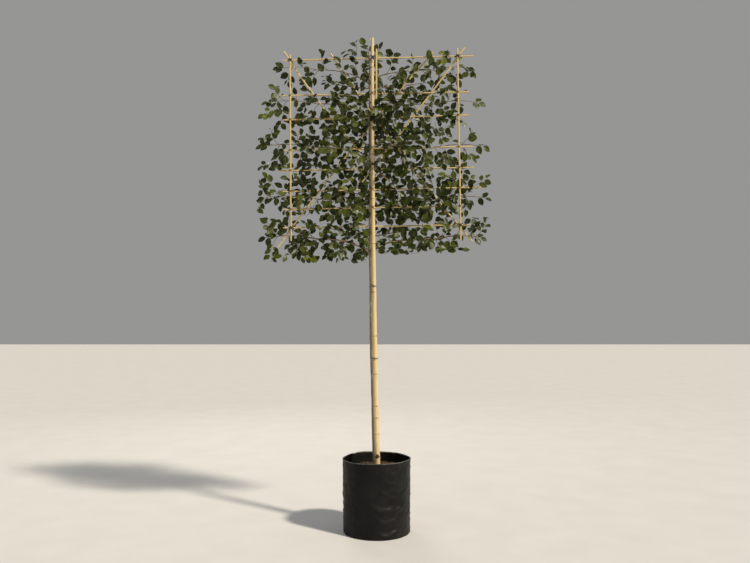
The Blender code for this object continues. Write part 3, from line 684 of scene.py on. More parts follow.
def build_boughs(boughs, skins):
    for name, (path, tip_radius) in boughs.items():
        length = length_of(path)
        radii = []
        for k in range(len(path)):
            share = k / (len(path) - 1)
            collar = 1 + COLLAR * math.exp(-share * length / COLLAR_LENGTH)
            radii.append(tip_radius * mix((BOUGH_TAPER, 1.0), share) * collar)
        shape = Shape().add_tube(path, radii, BOUGH_SIDES, 0, bark_relief(BOUGH_RELIEF))
        shape.make_piece(name + "_bark", skins, "bark", name)


# ---------------------------------------------------------------- canes


def fitted(course):
    """A smooth path through a cane's rings, as a function of the share of its length, with its length."""
    runs = np.array([(p - course[0][0]).length for p in course[0]])
    curves = np.polyfit(runs / runs[-1], np.array(course[0]), 2)
    return lambda share: Vector(curves[0] * share**2 + curves[1] * share + curves[2]), float(runs[-1])


def knuckle_places(rng, length):
    """Distances of a thin cane's knuckles from its first end."""
    places, at = [], rng.uniform(0.03, 0.09)
    while at < length - 0.02:
        places.append(at)
        at += rng.uniform(*CANE_KNUCKLES)
    return places


def bamboo(course, sides, rng, knuckles, crook):
    """A cane with ringed knuckles, slightly crooked at each of them, and hollow at both cut ends."""
    at, length = fitted(course)
    radii = (course[1][0] * CANE_FIT, course[1][-1] * CANE_FIT)
    thick = sum(radii) / 2
    across = (at(1) - at(0)).cross(FRONT).normalized()
    bend_places = [0.0, *knuckles, length]
    bends = [0.0] + [crook * rng.uniform(0.4, 1.0) * (-1) ** k for k in range(len(knuckles))] + [0.0]
    stops = {0.0: (1.0, 0), length: (1.0, 0)}
    for place in knuckles:
        for step, swell in KNUCKLE_PROFILE:
            stops[place + step * thick] = (swell, 1 if -0.2 < step < 0.2 else 0)
    for stop in np.arange(CANE_STEP, length, CANE_STEP):
        if all(abs(stop - place) > 2.2 * thick for place in knuckles):
            stops[float(stop)] = (1.0, 0)
    path, sizes, skins = [], [], []
    for stop in sorted(s for s in stops if 0 <= s <= length):
        swell, skin = stops[stop]
        share = stop / length
        path.append(at(share) + across * float(np.interp(stop, bend_places, bends)))
        sizes.append(mix(radii, share) * swell * (1 + 0.012 * noise.noise(path[-1] * 22)))
        skins += [skin] * sides
    shape = Shape().add_tube(path, sizes, sides, skins[:-sides], closed=False)
    for end, inner, size in ((path[0], path[1], sizes[0]), (path[-1], path[-2], sizes[-1])):
        add_cut_end(shape, end, (end - inner).normalized(), size, sides)
    return shape


def add_cut_end(shape, centre, outward, radius, sides):
    """The cane's wall in section, and the top of its bore."""
    across, other = axes_along([centre, centre + outward])[0]
    points = []
    for reach, depth in ((radius, 0), (radius * CANE_HOLLOW, 0), (radius * CANE_HOLLOW * 0.9, CANE_WELL)):
        for k in range(sides):
            angle = 2 * math.pi * k / sides
            points.append(centre - outward * depth + reach * swung(across, other, angle))
    shape.add(points, bands(3, sides, closed=False) + [tuple(range(2 * sides, 3 * sides))], 2)


def add_bud(shape, course, knuckle, heading, size):
    """The dark scale of a bud, lying on the cane just above a knuckle."""
    at, length = fitted(course)
    outward = Vector((math.cos(heading), math.sin(heading), 0))
    path = []
    for rise, _ in BUD_PROFILE:
        share = (knuckle + rise * size) / length
        radius = mix((course[1][0], course[1][-1]), share) * CANE_FIT
        path.append(at(share) + outward * (radius - BUD_SINK * size))
    shape.add_tube(path, [width * size for _, width in BUD_PROFILE], 10, 3)


def build_canes(courses, skins):
    for k, (name, course) in enumerate(sorted(courses.items())):
        rng = random.Random(40 + k)
        shape = bamboo(course, CANE_SIDES, rng, knuckle_places(rng, length_of(course[0])), CANE_CROOK)
        shape.make_piece("bamboo_" + name, skins, "bamboo", name)


def build_mast(course, skins):
    foot = min(point.z for point in course[0])
    knuckles = [height - foot for height in MAST_KNUCKLES]
    shape = bamboo(course, MAST_SIDES, random.Random(8), knuckles, MAST_CROOK)
    for knuckle, (heading, size) in zip(knuckles, MAST_KNUCKLES.values()):
        add_bud(shape, course, knuckle, math.radians(heading), size)
    shape.make_piece("bamboo_mast", skins, "bamboo", "mast")


# ---------------------------------------------------------------- ties


def nearest(found):
    """What goes with the least of (distance, ...), without the distance."""
    return min(found, key=lambda one: one[0])[1:]


def member_at(course, spot):
    """(a point on the member's axis, its direction, its radius) nearest to spot, seen from the front."""
    found = []
    for (a, b), radius in zip(pairwise(course[0]), course[1]):
        share = min(max((spot - a).dot(b - a) / (b - a).length_squared, 0), 1)
        point = a.lerp(b, share)
        distance = Vector((point.x - spot.x, 0, point.z - spot.z)).length
        found.append((distance, point, (b - a).normalized(), radius * CANE_FIT))
    return nearest(found)


def crossing(first, second):
    """Where two members cross as seen from the front, on the first."""
    found = []
    for (a0, a1), (b0, b1) in product(pairwise(first[0]), pairwise(second[0])):
        run_a, run_b, step = a1 - a0, b1 - b0, b0 - a0
        cross = run_a.x * run_b.z - run_a.z * run_b.x
        share_a = (step.x * run_b.z - step.z * run_b.x) / cross
        share_b = (step.x * run_a.z - step.z * run_a.x) / cross
        beyond = max(0, abs(share_a - 0.5) - 0.5) * run_a.length
        beyond += max(0, abs(share_b - 0.5) - 0.5) * run_b.length
        found.append((beyond, a0 + run_a * share_a))
    return nearest(found)[0]


def reach_of(member, spot, normal, facing):
    """How far a member reaches from spot towards facing, in the plane through spot square to normal."""
    point, along, radius = member
    square = along.dot(normal)
    middle = point + along * ((spot - point).dot(normal) / square)
    slant = along - normal * square
    if slant.length < 1e-4:
        return (middle - spot).dot(facing) + radius
    beside = normal.cross(slant).normalized()
    oval = math.hypot(radius * facing.dot(beside), radius / abs(square) * facing.dot(slant.normalized()))
    return (middle - spot).dot(facing) + oval


def windings(spot, across, members, cord, turns, slack=0.0):
    """The path of a cord wound turns times round members, in the plane through spot of across and Y."""
    second = Vector((0, 1, 0))
    across = across.normalized()
    normal = across.cross(second)
    path = []
    for k in range(round(turns * LOOP_POINTS) + 1):
        turn = k / LOOP_POINTS
        middle = spot + normal * cord * CORD_PITCH * (turn - turns / 2)
        reaches, facings = [], []
        for step in (0, 1):
            angle = 2 * math.pi * (k + step) / LOOP_POINTS - math.pi / 2
            facing = swung(across, second, angle)
            facings.append(facing)
            reaches.append(max(reach_of(member, middle, normal, facing) for member in members) + cord + slack)
        dot = facings[0].dot(facings[1])
        a, b = reaches
        corner = (facings[0] * (a - b * dot) + facings[1] * (b - a * dot)) / (1 - dot**2)
        path.append(middle + corner)
    return path


def add_cord(shape, path, radius, sides=8):
    shape.add_tube(path, [radius] * len(path), sides)


def add_knot(shape, spot, members, size, cord, rng):
    """A trefoil drawn up small in front of the members, with two tails that hang from it."""
    front = min(point.y - radius for point, _, radius in members)
    place = Vector((spot.x, front, spot.z)) + FRONT * KNOT_LIFT
    loop = []
    turn = rng.uniform(0, 2 * math.pi)
    for k in range(KNOT_POINTS + 1):
        t = 2 * math.pi * k / KNOT_POINTS
        flat = Vector((
            math.sin(t) + 2 * math.sin(2 * t), -1.3 * math.sin(3 * t), math.cos(t) - 2 * math.cos(2 * t)
        ))
        x, z = turned(flat.x, flat.z, turn)
        loop.append(place + Vector((x, flat.y, z)) * size / 6)
    add_cord(shape, loop, cord)
    for side in (-1, 1):
        reach = size * rng.uniform(1.6, 3.0)
        drop = Vector((side * rng.uniform(0.3, 0.7), -rng.uniform(0.2, 0.5), -1)).normalized()
        out = place + Vector((side * size * 0.5, -size * 0.35, 0))
        tail = [place, out, out + drop * reach * 0.5, out + (drop - UP * 0.3) * reach]
        add_cord(shape, smooth(tail, 4), cord)


def build_trunk_ties(courses, skins):
    """Tubing wound round the trunk, the mast and the canes that cross there."""
    for k, (name, (canes, thickness, turns, knot)) in enumerate(TRUNK_TIES.items()):
        cord = CORD_RADIUS * thickness
        low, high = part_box(name)
        spot = (low + high) / 2
        members = [member_at(courses[member], spot) for member in ("mast", "trunk", *canes)]
        shape = Shape()
        add_cord(shape, windings(spot, Vector((1, 0, 0)), members, cord, turns), cord)
        add_knot(shape, spot, members[:1], knot, cord, random.Random(60 + k))
        if canes:
            for side in (-1, 1):
                lean = Vector((1, 0, 0.55 * side))
                path = windings(spot, lean, members[:1] + members[2:], cord, 2, cord * 1.6)
                add_cord(shape, path, cord)
        shape.make_piece(name + "_tubing", skins, "tie", name)


def lashing_leans(members):
    """Two ways for a cord to cross members, seen from the front, as far off theirs as they can be."""
    taken = [math.atan2(along.z, along.x) for _, along, _ in members]
    choices = [math.radians(5 * k) for k in range(36)]
    for _ in range(2):
        taken.append(max(choices, key=lambda way: min(abs(math.sin(way - other)) for other in taken)))
    return [Vector((math.cos(way), 0, math.sin(way))) for way in taken[-2:]]


def build_crossing_ties(courses, skins):
    """The frame's corners, the mast's head and the crossing of a cross cane and a diagonal."""
    for k, (name, canes) in enumerate(CROSSING_TIES.items()):
        spot = crossing(courses[canes[0]], courses[canes[1]])
        members = [member_at(courses[cane], spot) for cane in canes]
        shape = Shape()
        for layer, lean in enumerate(lashing_leans(members)):
            add_cord(shape, windings(spot, lean, members, CORD_RADIUS, 2, CORD_RADIUS * layer), CORD_RADIUS)
        add_knot(shape, spot, members, CORNER_KNOT, CORD_RADIUS, random.Random(80 + k))
        shape.make_piece(name + "_tubing", skins, "tie", name)


def build_wire_ties(courses, skins):
    """Thin wire where the uprights and the mast cross the wired canes."""
    shape = Shape()
    for post, k in product(("upright_left", "upright_right", "mast"), WIRED_CANES):
        cane = courses[f"cross_cane_{k}"]
        spot = crossing(courses[post], cane)
        members = [member_at(courses[post], spot), member_at(cane, spot)]
        for side in (-1, 1):
            add_cord(shape, windings(spot, Vector((side, 0, 1)), members, WIRE_RADIUS, 2), WIRE_RADIUS, 6)
    shape.make_piece("wire_ties", skins, "tie")


# ---------------------------------------------------------------- foliage


class Space:
    """The limbs, the kept views, and all that has grown so far, in cells."""

    def __init__(self, solid):
        self.solid, self.cells, self.leaves = solid, {}, []

    def key(self, point):
        return tuple(math.floor(c / CELL) for c in point)

    def is_clear(self, tree, middle):
        if tree.overlap(self.solid):
            return False
        home = self.key(middle)
        near = (tuple(h + s for h, s in zip(home, step)) for step in product((-1, 0, 1), repeat=3))
        return not any(tree.overlap(other) for cell in near for other in self.cells.get(cell, ()))

    def keep(self, tree, middle):
        self.cells.setdefault(self.key(middle), []).append(tree)

    def openness(self, places):
        """How far each place is from the nearest leaf, mostly as seen from the front."""
        if not self.leaves:
            return np.ones(len(places))
        offsets = (np.array(self.leaves)[None] - np.array(places)[:, None]) * (1, 0.25, 1)
        return np.linalg.norm(offsets, axis=2).min(1)


def kept_strip(course, start, end, width, heading_from):
    """A box from part of a member out through the crown's front, which leaves keep out of."""
    middles, radii = course
    high, low = sorted((middles[0], middles[-1]), key=lambda point: -point.z)
    a, b = high.lerp(low, start), high.lerp(low, end)
    across = (b - a).cross(heading_from(a)).normalized() * (max(radii) + width)
    points = []
    for place in (a, b):
        heading = heading_from(place)
        near = place + heading * max(radii) * 1.1
        far = near + heading * ((near.y - CROWN_FRONT_Y + 0.02) / -heading.y)
        points += [near - across, near + across, far + across, far - across]
    return points, bands(2, 4)


def to_camera(place):
    return (CAMERA_PLACE - place).normalized()


def kept_strips(courses):
    for name, start, end in KEPT_IN_VIEW:
        yield kept_strip(courses[name], start, end, KEPT_MARGIN, to_camera)
    for name, start, end in KEPT_IN_SUN:
        yield kept_strip(courses[name], start, end, -KEPT_MARGIN, lambda place: TO_SUN)


class Blade:
    """One leaf blade: folded a little along its rib, drooping and wavy, thin, with a raised rib."""

    def __init__(self, rng, root, heading, facing, length):
        self.side = heading.cross(facing).normalized()
        self.facing = self.side.cross(heading).normalized()
        self.root, self.heading, self.length = root, heading, length
        self.half = length * LEAF_WIDTH / 2 * rng.uniform(0.9, 1.08)
        self.droop = rng.uniform(0.03, 0.20)
        self.fold = rng.uniform(0.05, 0.32)
        self.wave = rng.uniform(0.0, 0.07)
        self.phase = rng.uniform(0, 2 * math.pi)

    def at(self, share, across, lift=0.0):
        """A point of the blade: share of its length, metres across, metres proud of its surface."""
        edge = abs(across) / self.half
        waving = math.sin(self.phase + 11 * share + (2 if across > 0 else 0))
        rise = self.fold * abs(across) - self.droop * share**2 * self.length
        rise += self.wave * self.length * edge * waving
        spine = self.root + self.heading * share * self.length
        return spine + self.side * across + self.facing * (rise + lift)

    def test_shape(self):
        """Four triangles that stand for the blade when it is tested for room, with their common point."""
        wide, half = LEAF_WIDEST, self.half
        points = [self.at(*place) for place in ((0, 0), (wide, half), (1, 0), (wide, -half), (wide, 0))]
        return Shape().add(points, [(0, 1, 4), (1, 2, 4), (2, 3, 4), (3, 0, 4)]), points[4]

    def add_to(self, shape, tint):
        rib = RIB_WIDTH * self.length
        points = [self.at(0, 0), self.at(1, 0)]
        for share, wide in zip(LEAF_STATIONS, LEAF_OUTLINE):
            rim, slim = self.half * wide, rib * (1 - 0.75 * share)
            points += [self.at(share, -rim), self.at(share, rim)]
            for lift in (LEAF_BODY / 2, -LEAF_BODY):
                points += [self.at(share, -slim, lift), self.at(share, slim, lift)]
        faces, skins = [], []
        for inner, skin, underside in ((2, tint, False), (4, LEAF_UNDER, True)):
            firsts = range(2, len(points), 6)
            rows = [(0,) * 4, *((k, k + inner, k + inner + 1, k + 1) for k in firsts), (1,) * 4]
            for (low, high), column in product(pairwise(rows), range(3)):
                face = (low[column], low[column + 1], high[column + 1], high[column])
                face = tuple(dict.fromkeys(face))
                faces.append(face[::-1] if underside else face)
                skins.append(LEAF_RIB if column == 1 else skin)
        shape.add(points, faces, skins)


def fullness(place):
    rows = [float(np.interp(place.x, FULLNESS_X, row)) for row in FULLNESS.values()]
    return float(np.interp(place.z, list(FULLNESS), rows))


class Mass:
    """The twigs and leaves of one mass: a stem, shoots that fork from it, and leaves."""

    def __init__(self, seed, box, space):
        self.space, self.rng = space, random.Random(seed)
        self.low, self.high = Vector(box[0]), Vector(box[1])
        self.leaves, self.twigs, self.roots = Shape(), Shape(), []

    def holds(self, points):
        return all(self.low[k] <= p[k] <= self.high[k] for p in points for k in range(3))

    def add_twig(self, path, radii, sides):
        self.twigs.add_tube(path, [mix(radii, k / (len(path) - 1)) for k in range(len(path))], sides)

    def twig_room(self, path, radius):
        """Keeps room for a twig and says True, if it is clear of all but what it grows from."""
        if not self.holds(path):
            return False
        spans = []
        for a, b in pairwise(path[1:]):
            spans.append((Shape().add_tube([a, b], [radius, radius], 3).tree(), (a + b) / 2))
            if not self.space.is_clear(*spans[-1]):
                return False
        for span in spans:
            self.space.keep(*span)
        return True

    def grow(self, path, radii, limbs):
        """The mass's own stem, then one shoot after another, each towards the most open place."""
        stem = smooth(path, 6)
        for k in range(2, len(stem)):
            stem[k] = stem[k] + jitter(self.rng, 0.0012)
        self.add_twig(stem, radii, 8)
        for limb in (stem, *limbs):
            self.offer(limb, 0)
        self.add_leaves([stem[-5], stem[-3], stem[-1]], self.tint(), 3)
        idle = 0
        while idle < PATIENCE:
            target = self.open_place()
            grown = target is not None and self.grow_shoot(target)
            idle = 0 if grown else idle + 1

    def offer(self, path, order):
        """Later shoots may grow from places along path. order counts the forks below it."""
        run = 0.0
        for a, b in pairwise(path[1:]):
            run += (b - a).length
            if run > ROOT_SPACING and self.holds([b]):
                self.roots.append((b, (b - a).normalized(), order))
                run = 0.0

    def open_place(self):
        """Of a few places drawn at random, the most open one for how full the crown is there, or None."""
        places, gaps = [], []
        for _ in range(PLACE_TRIALS):
            shares = [self.rng.random(), self.rng.triangular(0, 1, DEPTH_PEAK), self.rng.random()]
            limits = [(low + WALL_GAP, high - WALL_GAP) for low, high in zip(self.low, self.high)]
            place = Vector([mix(pair, share) for pair, share in zip(limits, shares)])
            if not self.space.solid.find_nearest(place, LIMB_GAP)[0]:
                places.append(place)
                gaps.append(LEAF_GAP / math.sqrt(fullness(place)))
        if not places:
            return None
        open_shares = self.space.openness(places) / gaps
        best = int(np.argmax(open_shares))
        return places[best] if open_shares[best] > 1 else None

    def tint(self):
        """One colour for each spray."""
        draw = self.rng.random()
        for tint, share in TINTS:
            draw -= share
            if draw < 0:
                return tint
        return LEAF_DARK

    def grow_shoot(self, target):
        """A shoot with leaves, from the best root that a clear path leads from. Says if leaves grew."""
        choices = []
        for k, (root, along, order) in enumerate(self.roots):
            run = target - root
            turn = run.normalized().dot(along)
            choices.append((run.length * (1.5 - 0.5 * turn) + ORDER_COST * order, k))
        for _, k in sorted(choices)[:ROOT_TRIALS]:
            root, along, order = self.roots[k]
            run = target - root
            length = min(run.length, SHOOT_REACH[1] / (1 + 0.35 * order))
            if length < SHOOT_REACH[0]:
                continue
            setting_off = (run.normalized() + along * 0.7 + jitter(self.rng, 0.25)).normalized()
            knee, end = root + setting_off * length * 0.5, root + run.normalized() * length
            path = bent(root, knee, end, max(3, round(length / SHOOT_STEP)))
            radii = [radius * SHOOT_THICKNESS[min(order, 2)] for radius in SHOOT_RADII]
            if self.twig_room(path, radii[0]):
                self.add_twig(path, radii, 6)
                self.offer(path, order + 1)
                return self.add_leaves(path, self.tint(), max(2, round(0.85 * length / LEAF_SPACING)))
        return False

    def add_leaves(self, path, tint, count):
        """Leaves alternate from side to side along the outer part of a twig, and one ends it."""
        grown = 0
        for k in range(count):
            root, heading = along_path(path, mix((0.97, 0.25), k / count) if k else 1.0)
            side = (-1) ** k if k else 0
            grown += any(self.add_leaf(root, heading, side, tint) for _ in range(LEAF_TRIALS))
        return grown > 0

    def add_leaf(self, root, twig, side, tint):
        rng = self.rng
        outward = FRONT if root.y < 0.05 else -FRONT
        facing = (outward * 0.95 + UP * 0.45 + jitter(rng, 0.6)).normalized()
        beside = twig.cross(facing)
        if beside.length < 0.1:
            return False
        lean = beside.normalized() * (side * rng.uniform(0.8, 1.7))
        heading = (twig + lean - UP * rng.uniform(0.0, 0.6) + jitter(rng, 0.3)).normalized()
        length = mix(LEAF_LENGTH, rng.random() ** 0.8)
        foot = root + (heading + lean * 0.3).normalized() * rng.uniform(*PETIOLE)
        if abs(heading.dot(facing)) > 0.85:
            return False
        blade = Blade(rng, foot, heading, facing, length)
        test_shape, middle = blade.test_shape()
        tree = test_shape.tree()
        if not self.holds(test_shape.points) or not self.space.is_clear(tree, middle):
            return False
        self.space.keep(tree, middle)
        self.space.leaves.append(middle)
        blade.add_to(self.leaves, tint)
        self.twigs.add_tube([root, root.lerp(foot, 0.5), foot + heading * 0.002], STALK_RADII, 4, 1)
        return True


def curve_between(start, setting_off, end, sag, steps=3):
    """A shallow arc from start to end, its middle moved by sag. It sets off squarely from its limb."""
    first = start + setting_off * STEM_ROOT
    arc = [first.lerp(end, k / steps) + sag * 4 * (k / steps) * (1 - k / steps) for k in range(steps + 1)]
    return [start, *arc]


def mass_boxes(tier, side, word, reach):
    """The spaces of the inner and the outer mass, each its low and its high corner."""
    floor, roof = TIER_FLOORS[tier : tier + 2]
    top_tier = tier == TIER_COUNT - 1
    inner_x = LEADER_X[0 if side < 0 else 1] if top_tier else sum(LEADER_X) / 2
    boxes = []
    for ends, shift in (((inner_x, side * SPLIT_X), -TIER_STAGGER), ((side * SPLIT_X, reach), TIER_STAGGER)):
        low, high = sorted(ends)
        low_z = floor + shift if tier else floor - CROWN_DROOP[word]
        high_z = roof + (0 if top_tier else shift)
        boxes.append(((low, CROWN_FRONT_Y, low_z), (high, CROWN_BACK_Y, high_z)))
    return boxes


def stem_plans(trunk, boughs):
    """Node of each mass: (seed, box, path of its stem, the stem's radii, other limbs in it)."""
    plans = {}
    for tier, (side, word) in product(range(TIER_COUNT), ((-1, "left"), (1, "right"))):
        inner, outer = (f"foliage_{word}_{part}_{tier + 1}" for part in ("inner", "outer"))
        seed = 1000 + 100 * tier + (10 if side > 0 else 20)
        bough, tip_radius = boughs[f"bough_{word}_{tier + 1}"]
        outward, tip = Vector((side, 0, 0)), bough[-1]
        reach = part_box(outer)[0 if side < 0 else 1].x
        inner_box, outer_box = mass_boxes(tier, side, word, reach)
        floor, roof = TIER_FLOORS[tier : tier + 2]
        start_z, end_z = tip.z + 0.02, mix((tip.z, roof), 0.6)
        if tier == TIER_COUNT - 1:
            start_z, end_z = floor + 0.02, floor + 0.06
        end = Vector((side * (SPLIT_X - 0.05), tip.y, end_z))
        path = curve_between(trunk.centre(start_z), outward, end, Vector((0, 0.012, 0)))
        path[1] += outward * trunk.radius(start_z)
        plans[inner] = (seed, inner_box, path, STEM_RADII, [bough])
        far = Vector((reach - side * 0.06, tip.y, tip.z + 0.01))
        path = curve_between(tip - outward * 0.004, outward, far, Vector((0, 0, 0.015)))
        plans[outer] = (seed + 1, outer_box, path, (tip_radius * 0.97, tip_radius * 0.5), [])
    start = trunk.centre(trunk.tip)
    crown_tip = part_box("foliage_leader")[1].z
    top = Vector((start.x - 0.014, 0.004, crown_tip - 0.05))
    path = curve_between(start - UP * 0.004, UP, top, Vector((0.004, 0, 0)))
    box = ((LEADER_X[0], CROWN_FRONT_Y, TIER_FLOORS[-2]), (LEADER_X[1], CROWN_BACK_Y, crown_tip))
    stem = [trunk.centre(mix((box[0][2], trunk.tip), k / 8)) for k in range(9)]
    plans["foliage_leader"] = (1900, box, path, (trunk.radius(trunk.tip), 0.0024), [stem])
    return plans


def build_foliage(trunk, boughs, courses, skins):
    solids = Shape()
    for name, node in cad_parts.items():
        if not name.startswith(("foliage", "grow_bag", "soil")):
            vertices, polygons = node.data.vertices, node.data.polygons
            solids.add([v.co.copy() for v in vertices], [tuple(face.vertices) for face in polygons])
    for points, faces in kept_strips(courses):
        solids.add(points, faces)
    space = Space(solids.tree())
    for node, (seed, box, *stem) in stem_plans(trunk, boughs).items():
        mass = Mass(seed, box, space)
        mass.grow(*stem)
        mass.leaves.make_piece(node + "_leaves", skins["leaves"], "leaf", node, 60)
        mass.twigs.make_piece(node + "_twigs", skins["twigs"], "bark")


# ---------------------------------------------------------------- bag and soil


def random_creases(rng):
    made = []
    for _ in range(RANDOM_CREASES):
        height = rng.uniform(*CREASE_HEIGHTS[rng.random() >= LOW_CREASES])
        degrees, *others = (rng.uniform(*limits) for limits in CREASE_RANGES)
        made.append((degrees, height, *others))
    return made


def turn_between(angle, degrees):
    """From degrees round to angle, in radians, the short way."""
    return (angle - math.radians(degrees) + math.pi) % (2 * math.pi) - math.pi


class BagWall:
    """The bag's outer face: out of round, creased, soft at its foot and wavy at its rim."""

    def __init__(self):
        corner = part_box("grow_bag")[1]
        self.height = corner.z
        self.rim = corner.x - BAG_LIP
        self.creases = [*CREASES, *random_creases(random.Random(11))]

    def rim_height(self, angle):
        return self.height + 0.0022 * math.sin(2 * angle + 0.7) + 0.0016 * math.sin(5 * angle + 2) - 0.0015

    def radius(self, angle, z):
        """angle is measured from the front towards the right."""
        share = z / self.height
        plain = self.rim - BAG_TAPER * (1 - share)
        around = Vector((math.sin(angle), -math.cos(angle), 0))
        swell = 0.0020 * math.sin(math.pi * min(max(share, 0), 1)) * math.sin(3 * angle + 0.8)
        sway = 0.0018 * share**3 * math.sin(4 * angle + 1.1) + 0.0005 * share**6 * math.sin(11 * angle)
        soft = 0.0022 * noise.noise(around * 3.2 + Vector((0, 0, z * 9)))
        ripple = 0.0010 * noise.noise(around * 7 + Vector((0, 0, z * 48)))
        rumple = 0.0016 * math.exp(-z / 0.02) * noise.noise(around * 14 + Vector((0, 0, z * 20)))
        smooth_wall = plain + swell + sway + soft + ripple + rumple
        return smooth_wall + self.creased(angle, z) - self.tucked(angle, z)

    def tucked(self, angle, z):
        inward = 0.0
        for degrees, depth, half, length in TUCKS:
            fade = min(max((z - self.height + length) / length, 0), 1)
            inward += depth * fade * math.exp(-((turn_between(angle, degrees) / half) ** 2))
        return inward

    def creased(self, angle, z):
        out = 0.0
        for degrees, height, half, rise, depth, half_height in self.creases:
            across = turn_between(angle, degrees)
            if abs(across) < 1.4 * half:
                line = height + rise * across / half - CREASE_SAG * (half - across**2 / half)
                line += 0.25 * half_height * math.sin(5 * across / half)
                off = (z - line) / half_height
                if abs(off) < 3:
                    fade = math.exp(-((across / half) ** 4) * 1.2)
                    out += depth * fade * (math.exp(-off * off) - 0.7 * math.exp(-((off - 1.3) ** 2)))
        return out


def ringed(profile_at, rings, segments):
    """A closed surface of rings. profile_at(ring, angle) is (radius, z), and angle 0 is the front."""
    points = []
    for i, k in product(range(rings), range(segments)):
        angle = 2 * math.pi * k / segments
        radius, z = profile_at(i, angle)
        points.append(Vector((radius * math.sin(angle), -radius * math.cos(angle), z)))
    return points, bands(rings, segments)


def build_bag(wall, skins):
    """One closed skin: foot, outer face, rim, inner face and floor."""
    foot = [(wall.rim - 0.030, 0.0), (wall.rim - 0.012, 0.0), (wall.rim - 0.0055, 0.0022)]
    heights = [mix((0.006, 1.0), k / (BAG_RINGS - 1)) for k in range(BAG_RINGS)]
    hem = [(-FILM * 1.2, 0.0016), (FILM * 0.4, 0.0032), (FILM * 1.6, 0.0020), (FILM * 2.2, -0.0030)]
    inner_rings = BAG_RINGS // 2

    def profile(i, angle):
        if i < len(foot):
            radius, z = foot[i]
            return radius + 0.002 * math.sin(7 * angle) * (i > 0), z
        i -= len(foot)
        top = wall.rim_height(angle)
        if i < BAG_RINGS:
            z = heights[i] * top
            fold = 0.0009 * math.exp(-(((top - z - 0.006) / 0.0022) ** 2))
            return wall.radius(angle, z) + fold, z
        i -= BAG_RINGS
        if i < len(hem):
            inward, rise = hem[i]
            return wall.radius(angle, top) - inward, top + rise
        i -= len(hem)
        z = mix((top - 0.006, 0.004), i / (inner_rings - 1))
        return wall.radius(angle, z) - 2.2 * FILM, z

    points, faces = ringed(profile, len(foot) + BAG_RINGS + len(hem) + inner_rings, BAG_SEGMENTS)
    hem_start = len(foot) + BAG_RINGS
    # The hem's faces take the second, paler skin: a painted highlight along the rim.
    edge = range((hem_start - 1) * BAG_SEGMENTS, (hem_start + len(hem) - 1) * BAG_SEGMENTS)
    painted_highlight_marks = [int(k in edge) for k in range(len(faces))]
    Shape().add(points, faces, painted_highlight_marks).make_piece("bag_film", skins, "bag", "grow_bag", 55)


def soil_height(x, y, wall, top):
    slope = min(max((math.hypot(x, y) - SOIL_CROWN_RADIUS) / (wall.rim - SOIL_CROWN_RADIUS), 0), 1)
    lumps = 0.006 * noise_at((x, y, 0.3), 16, 16, 1) + 0.0035 * noise_at((x, y, 1.7), 55, 55, 1)
    fine = 0.0018 * noise_at((x, y, 4.1), 170, 170, 1)
    return top - SOIL_FALL * slope + lumps + fine - SOIL_SINK


def build_soil(wall, top, skins):
    def profile(i, angle):
        if i == 0:
            return wall.rim - 0.020, 0.005
        edge = min(wall.radius(angle, top - depth) for depth in (0, 0.01, 0.02, 0.03, 0.04)) - 3 * FILM
        if i == 1:
            return edge - 0.006, top - SOIL_FALL - 0.03
        reach = edge * (1 - (i - 2) / (SOIL_RINGS - 2))
        return reach, soil_height(reach * math.sin(angle), -reach * math.cos(angle), wall, top)

    shape = Shape().add(*ringed(profile, SOIL_RINGS, SOIL_SEGMENTS))
    shape.make_piece("soil_surface", skins, "soil", "soil", 180)


def crumb_form():
    """The corners and faces of an icosahedron."""
    corners = []
    for a, b in ((1, 1.618), (1, -1.618), (-1, 1.618), (-1, -1.618)):
        corners += [Vector(corner).normalized() for corner in ((0, a, b), (a, b, 0), (b, 0, a))]
    edge = min((corners[0] - other).length for other in corners[1:]) * 1.1
    faces = []
    for face in combinations(range(len(corners)), 3):
        a, b, c = (corners[k] for k in face)
        if max((a - b).length, (b - c).length, (c - a).length) < edge:
            faces.append(face if (b - a).cross(c - a).dot(a) > 0 else (face[0], face[2], face[1]))
    return corners, faces


def build_crumbs(wall, top, skins):
    """Loose crumbs, bark chips and pale grit on the soil."""
    rng = random.Random(21)
    corners, faces = crumb_form()
    shape = Shape()
    for k in range(CRUMB_COUNT):
        kind = rng.choices((0, 1, 2), CRUMB_SHARES)[0]
        size = mix(CRUMB_SIZE, rng.random() ** 2.2) * (1.25 if kind else 1.0)
        longest = 2.2 if kind == 1 else 1.2
        stretch = Vector((rng.uniform(0.6, longest), rng.uniform(0.5, 1.0), rng.uniform(0.35, 0.8)))
        turn = rng.uniform(0, 2 * math.pi)
        limit = wall.rim - 0.010 - 1.15 * size * stretch.x
        angle, reach = k * GOLDEN_ANGLE, limit * math.sqrt((k + 0.5) / CRUMB_COUNT)
        x, y = reach * math.cos(angle), reach * math.sin(angle)
        centre = Vector((x, y, soil_height(x, y, wall, top) + size * 0.2))
        points = []
        for corner in corners:
            p = Vector(corner[k] * stretch[k] * size * rng.uniform(0.75, 1.15) for k in range(3))
            points.append(centre + Vector((*turned(p.x, p.y, turn), p.z)))
        shape.add(points, faces, kind)
    shape.make_piece("soil_crumbs", skins, "soil", crease=30)


# ---------------------------------------------------------------- studio


def put_light(name, kind, shines, place=(0, 0, 0), **settings):
    """A light that shines the way of the vector shines."""
    light = bpy.data.lights.new(name, kind)
    for key, value in settings.items():
        setattr(light, key, value)
    put(name, light, location=place, rotation_euler=shines.to_track_quat("-Z", "Y").to_euler())


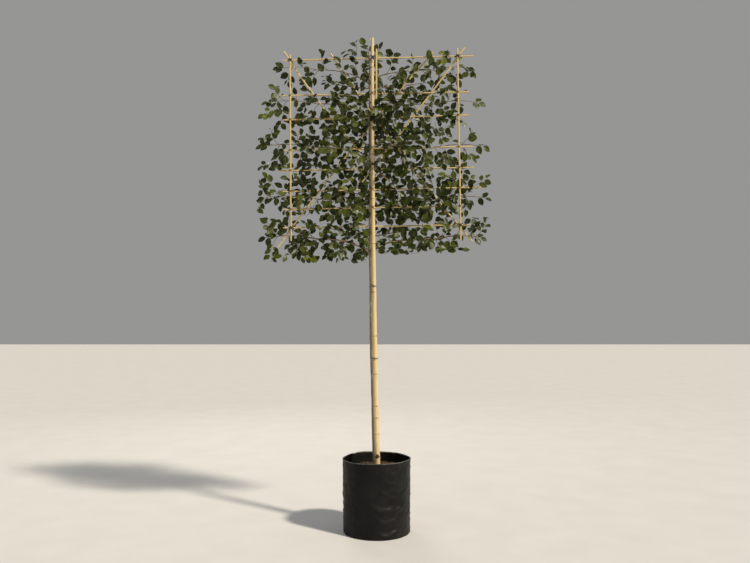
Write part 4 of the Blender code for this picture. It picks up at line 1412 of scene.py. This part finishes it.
def build_studio(skin):
    """A wide pale floor, a warm sun, a weak light from behind and an even grey sky."""
    mesh = bpy.data.meshes.new("studio_floor")
    signs = ((-1, -1), (1, -1), (1, 1), (-1, 1))
    corners = [(x * FLOOR_REACH, y * FLOOR_REACH, -FLOOR_DROP) for x, y in signs]
    mesh.from_pydata(corners, [], [(0, 1, 2, 3)])
    mesh.materials.append(skin)
    floor = put("studio_floor", mesh)
    floor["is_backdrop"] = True

    put_light("key", "SUN", -TO_SUN, energy=4.15, color=(1.0, 0.90, 0.73), angle=math.radians(5))
    put_light(
        "back", "AREA", BACK_LIGHT_TARGET - BACK_LIGHT_PLACE, BACK_LIGHT_PLACE,
        shape="DISK", size=2.5, energy=60, color=(1.0, 0.97, 0.92),
    )
    world = bpy.data.worlds.new("studio")
    world.use_nodes = True
    sky = world.node_tree.nodes["Background"].inputs
    sky["Color"].default_value = (0.92, 0.92, 0.91, 1)
    sky["Strength"].default_value = 0.33
    bpy.context.scene.world = world
    bpy.context.scene.view_settings.view_transform = "Standard"


def build_camera():
    data = bpy.data.cameras.new("camera")
    data.sensor_width = SENSOR_WIDTH
    data.sensor_fit = "HORIZONTAL"
    data.lens = SENSOR_WIDTH * FOCAL_PIXELS / PHOTO_WIDTH_PIXELS
    tilt = (math.pi / 2 + CAMERA_TILT, 0, 0)
    bpy.context.scene.camera = put("camera", data, location=CAMERA_PLACE, rotation_euler=tilt)


# ---------------------------------------------------------------- the whole tree


def main():
    build_camera()
    skins = make_skins()
    build_studio(skins["floor"])
    wall = BagWall()
    soil_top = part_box("soil")[1].z
    build_bag(wall, skins["film"])
    build_soil(wall, soil_top, skins["soil"])
    build_crumbs(wall, soil_top, skins["crumbs"])

    thin = [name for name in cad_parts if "cane" in name or name.startswith(("upright", "diagonal"))]
    canes = {name: course_of(name) for name in thin}
    mast = course_of("mast")
    build_canes(canes, skins["canes"])
    build_mast(mast, skins["mast"])

    trunk = Trunk()
    boughs = {}
    for tier, word in product(range(TIER_COUNT), ("left", "right")):
        boughs[f"bough_{word}_{tier + 1}"] = bough_path(trunk, word, tier)
    build_trunk(trunk, boughs.values(), skins["bark"])
    build_boughs(boughs, skins["bark"])
    courses = {**canes, "mast": mast, "trunk": (trunk.middles, trunk.radii)}
    build_trunk_ties(courses, skins["ties"])
    build_crossing_ties(courses, skins["ties"])
    build_wire_ties(courses, skins["ties"])
    build_foliage(trunk, boughs, courses, skins)


def write_sizes():
    boxes = {"cad": cad_box, "visual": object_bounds()}
    {name: [list(corner) for corner in box] for name, box in boxes.items()}


main()
write_sizes()
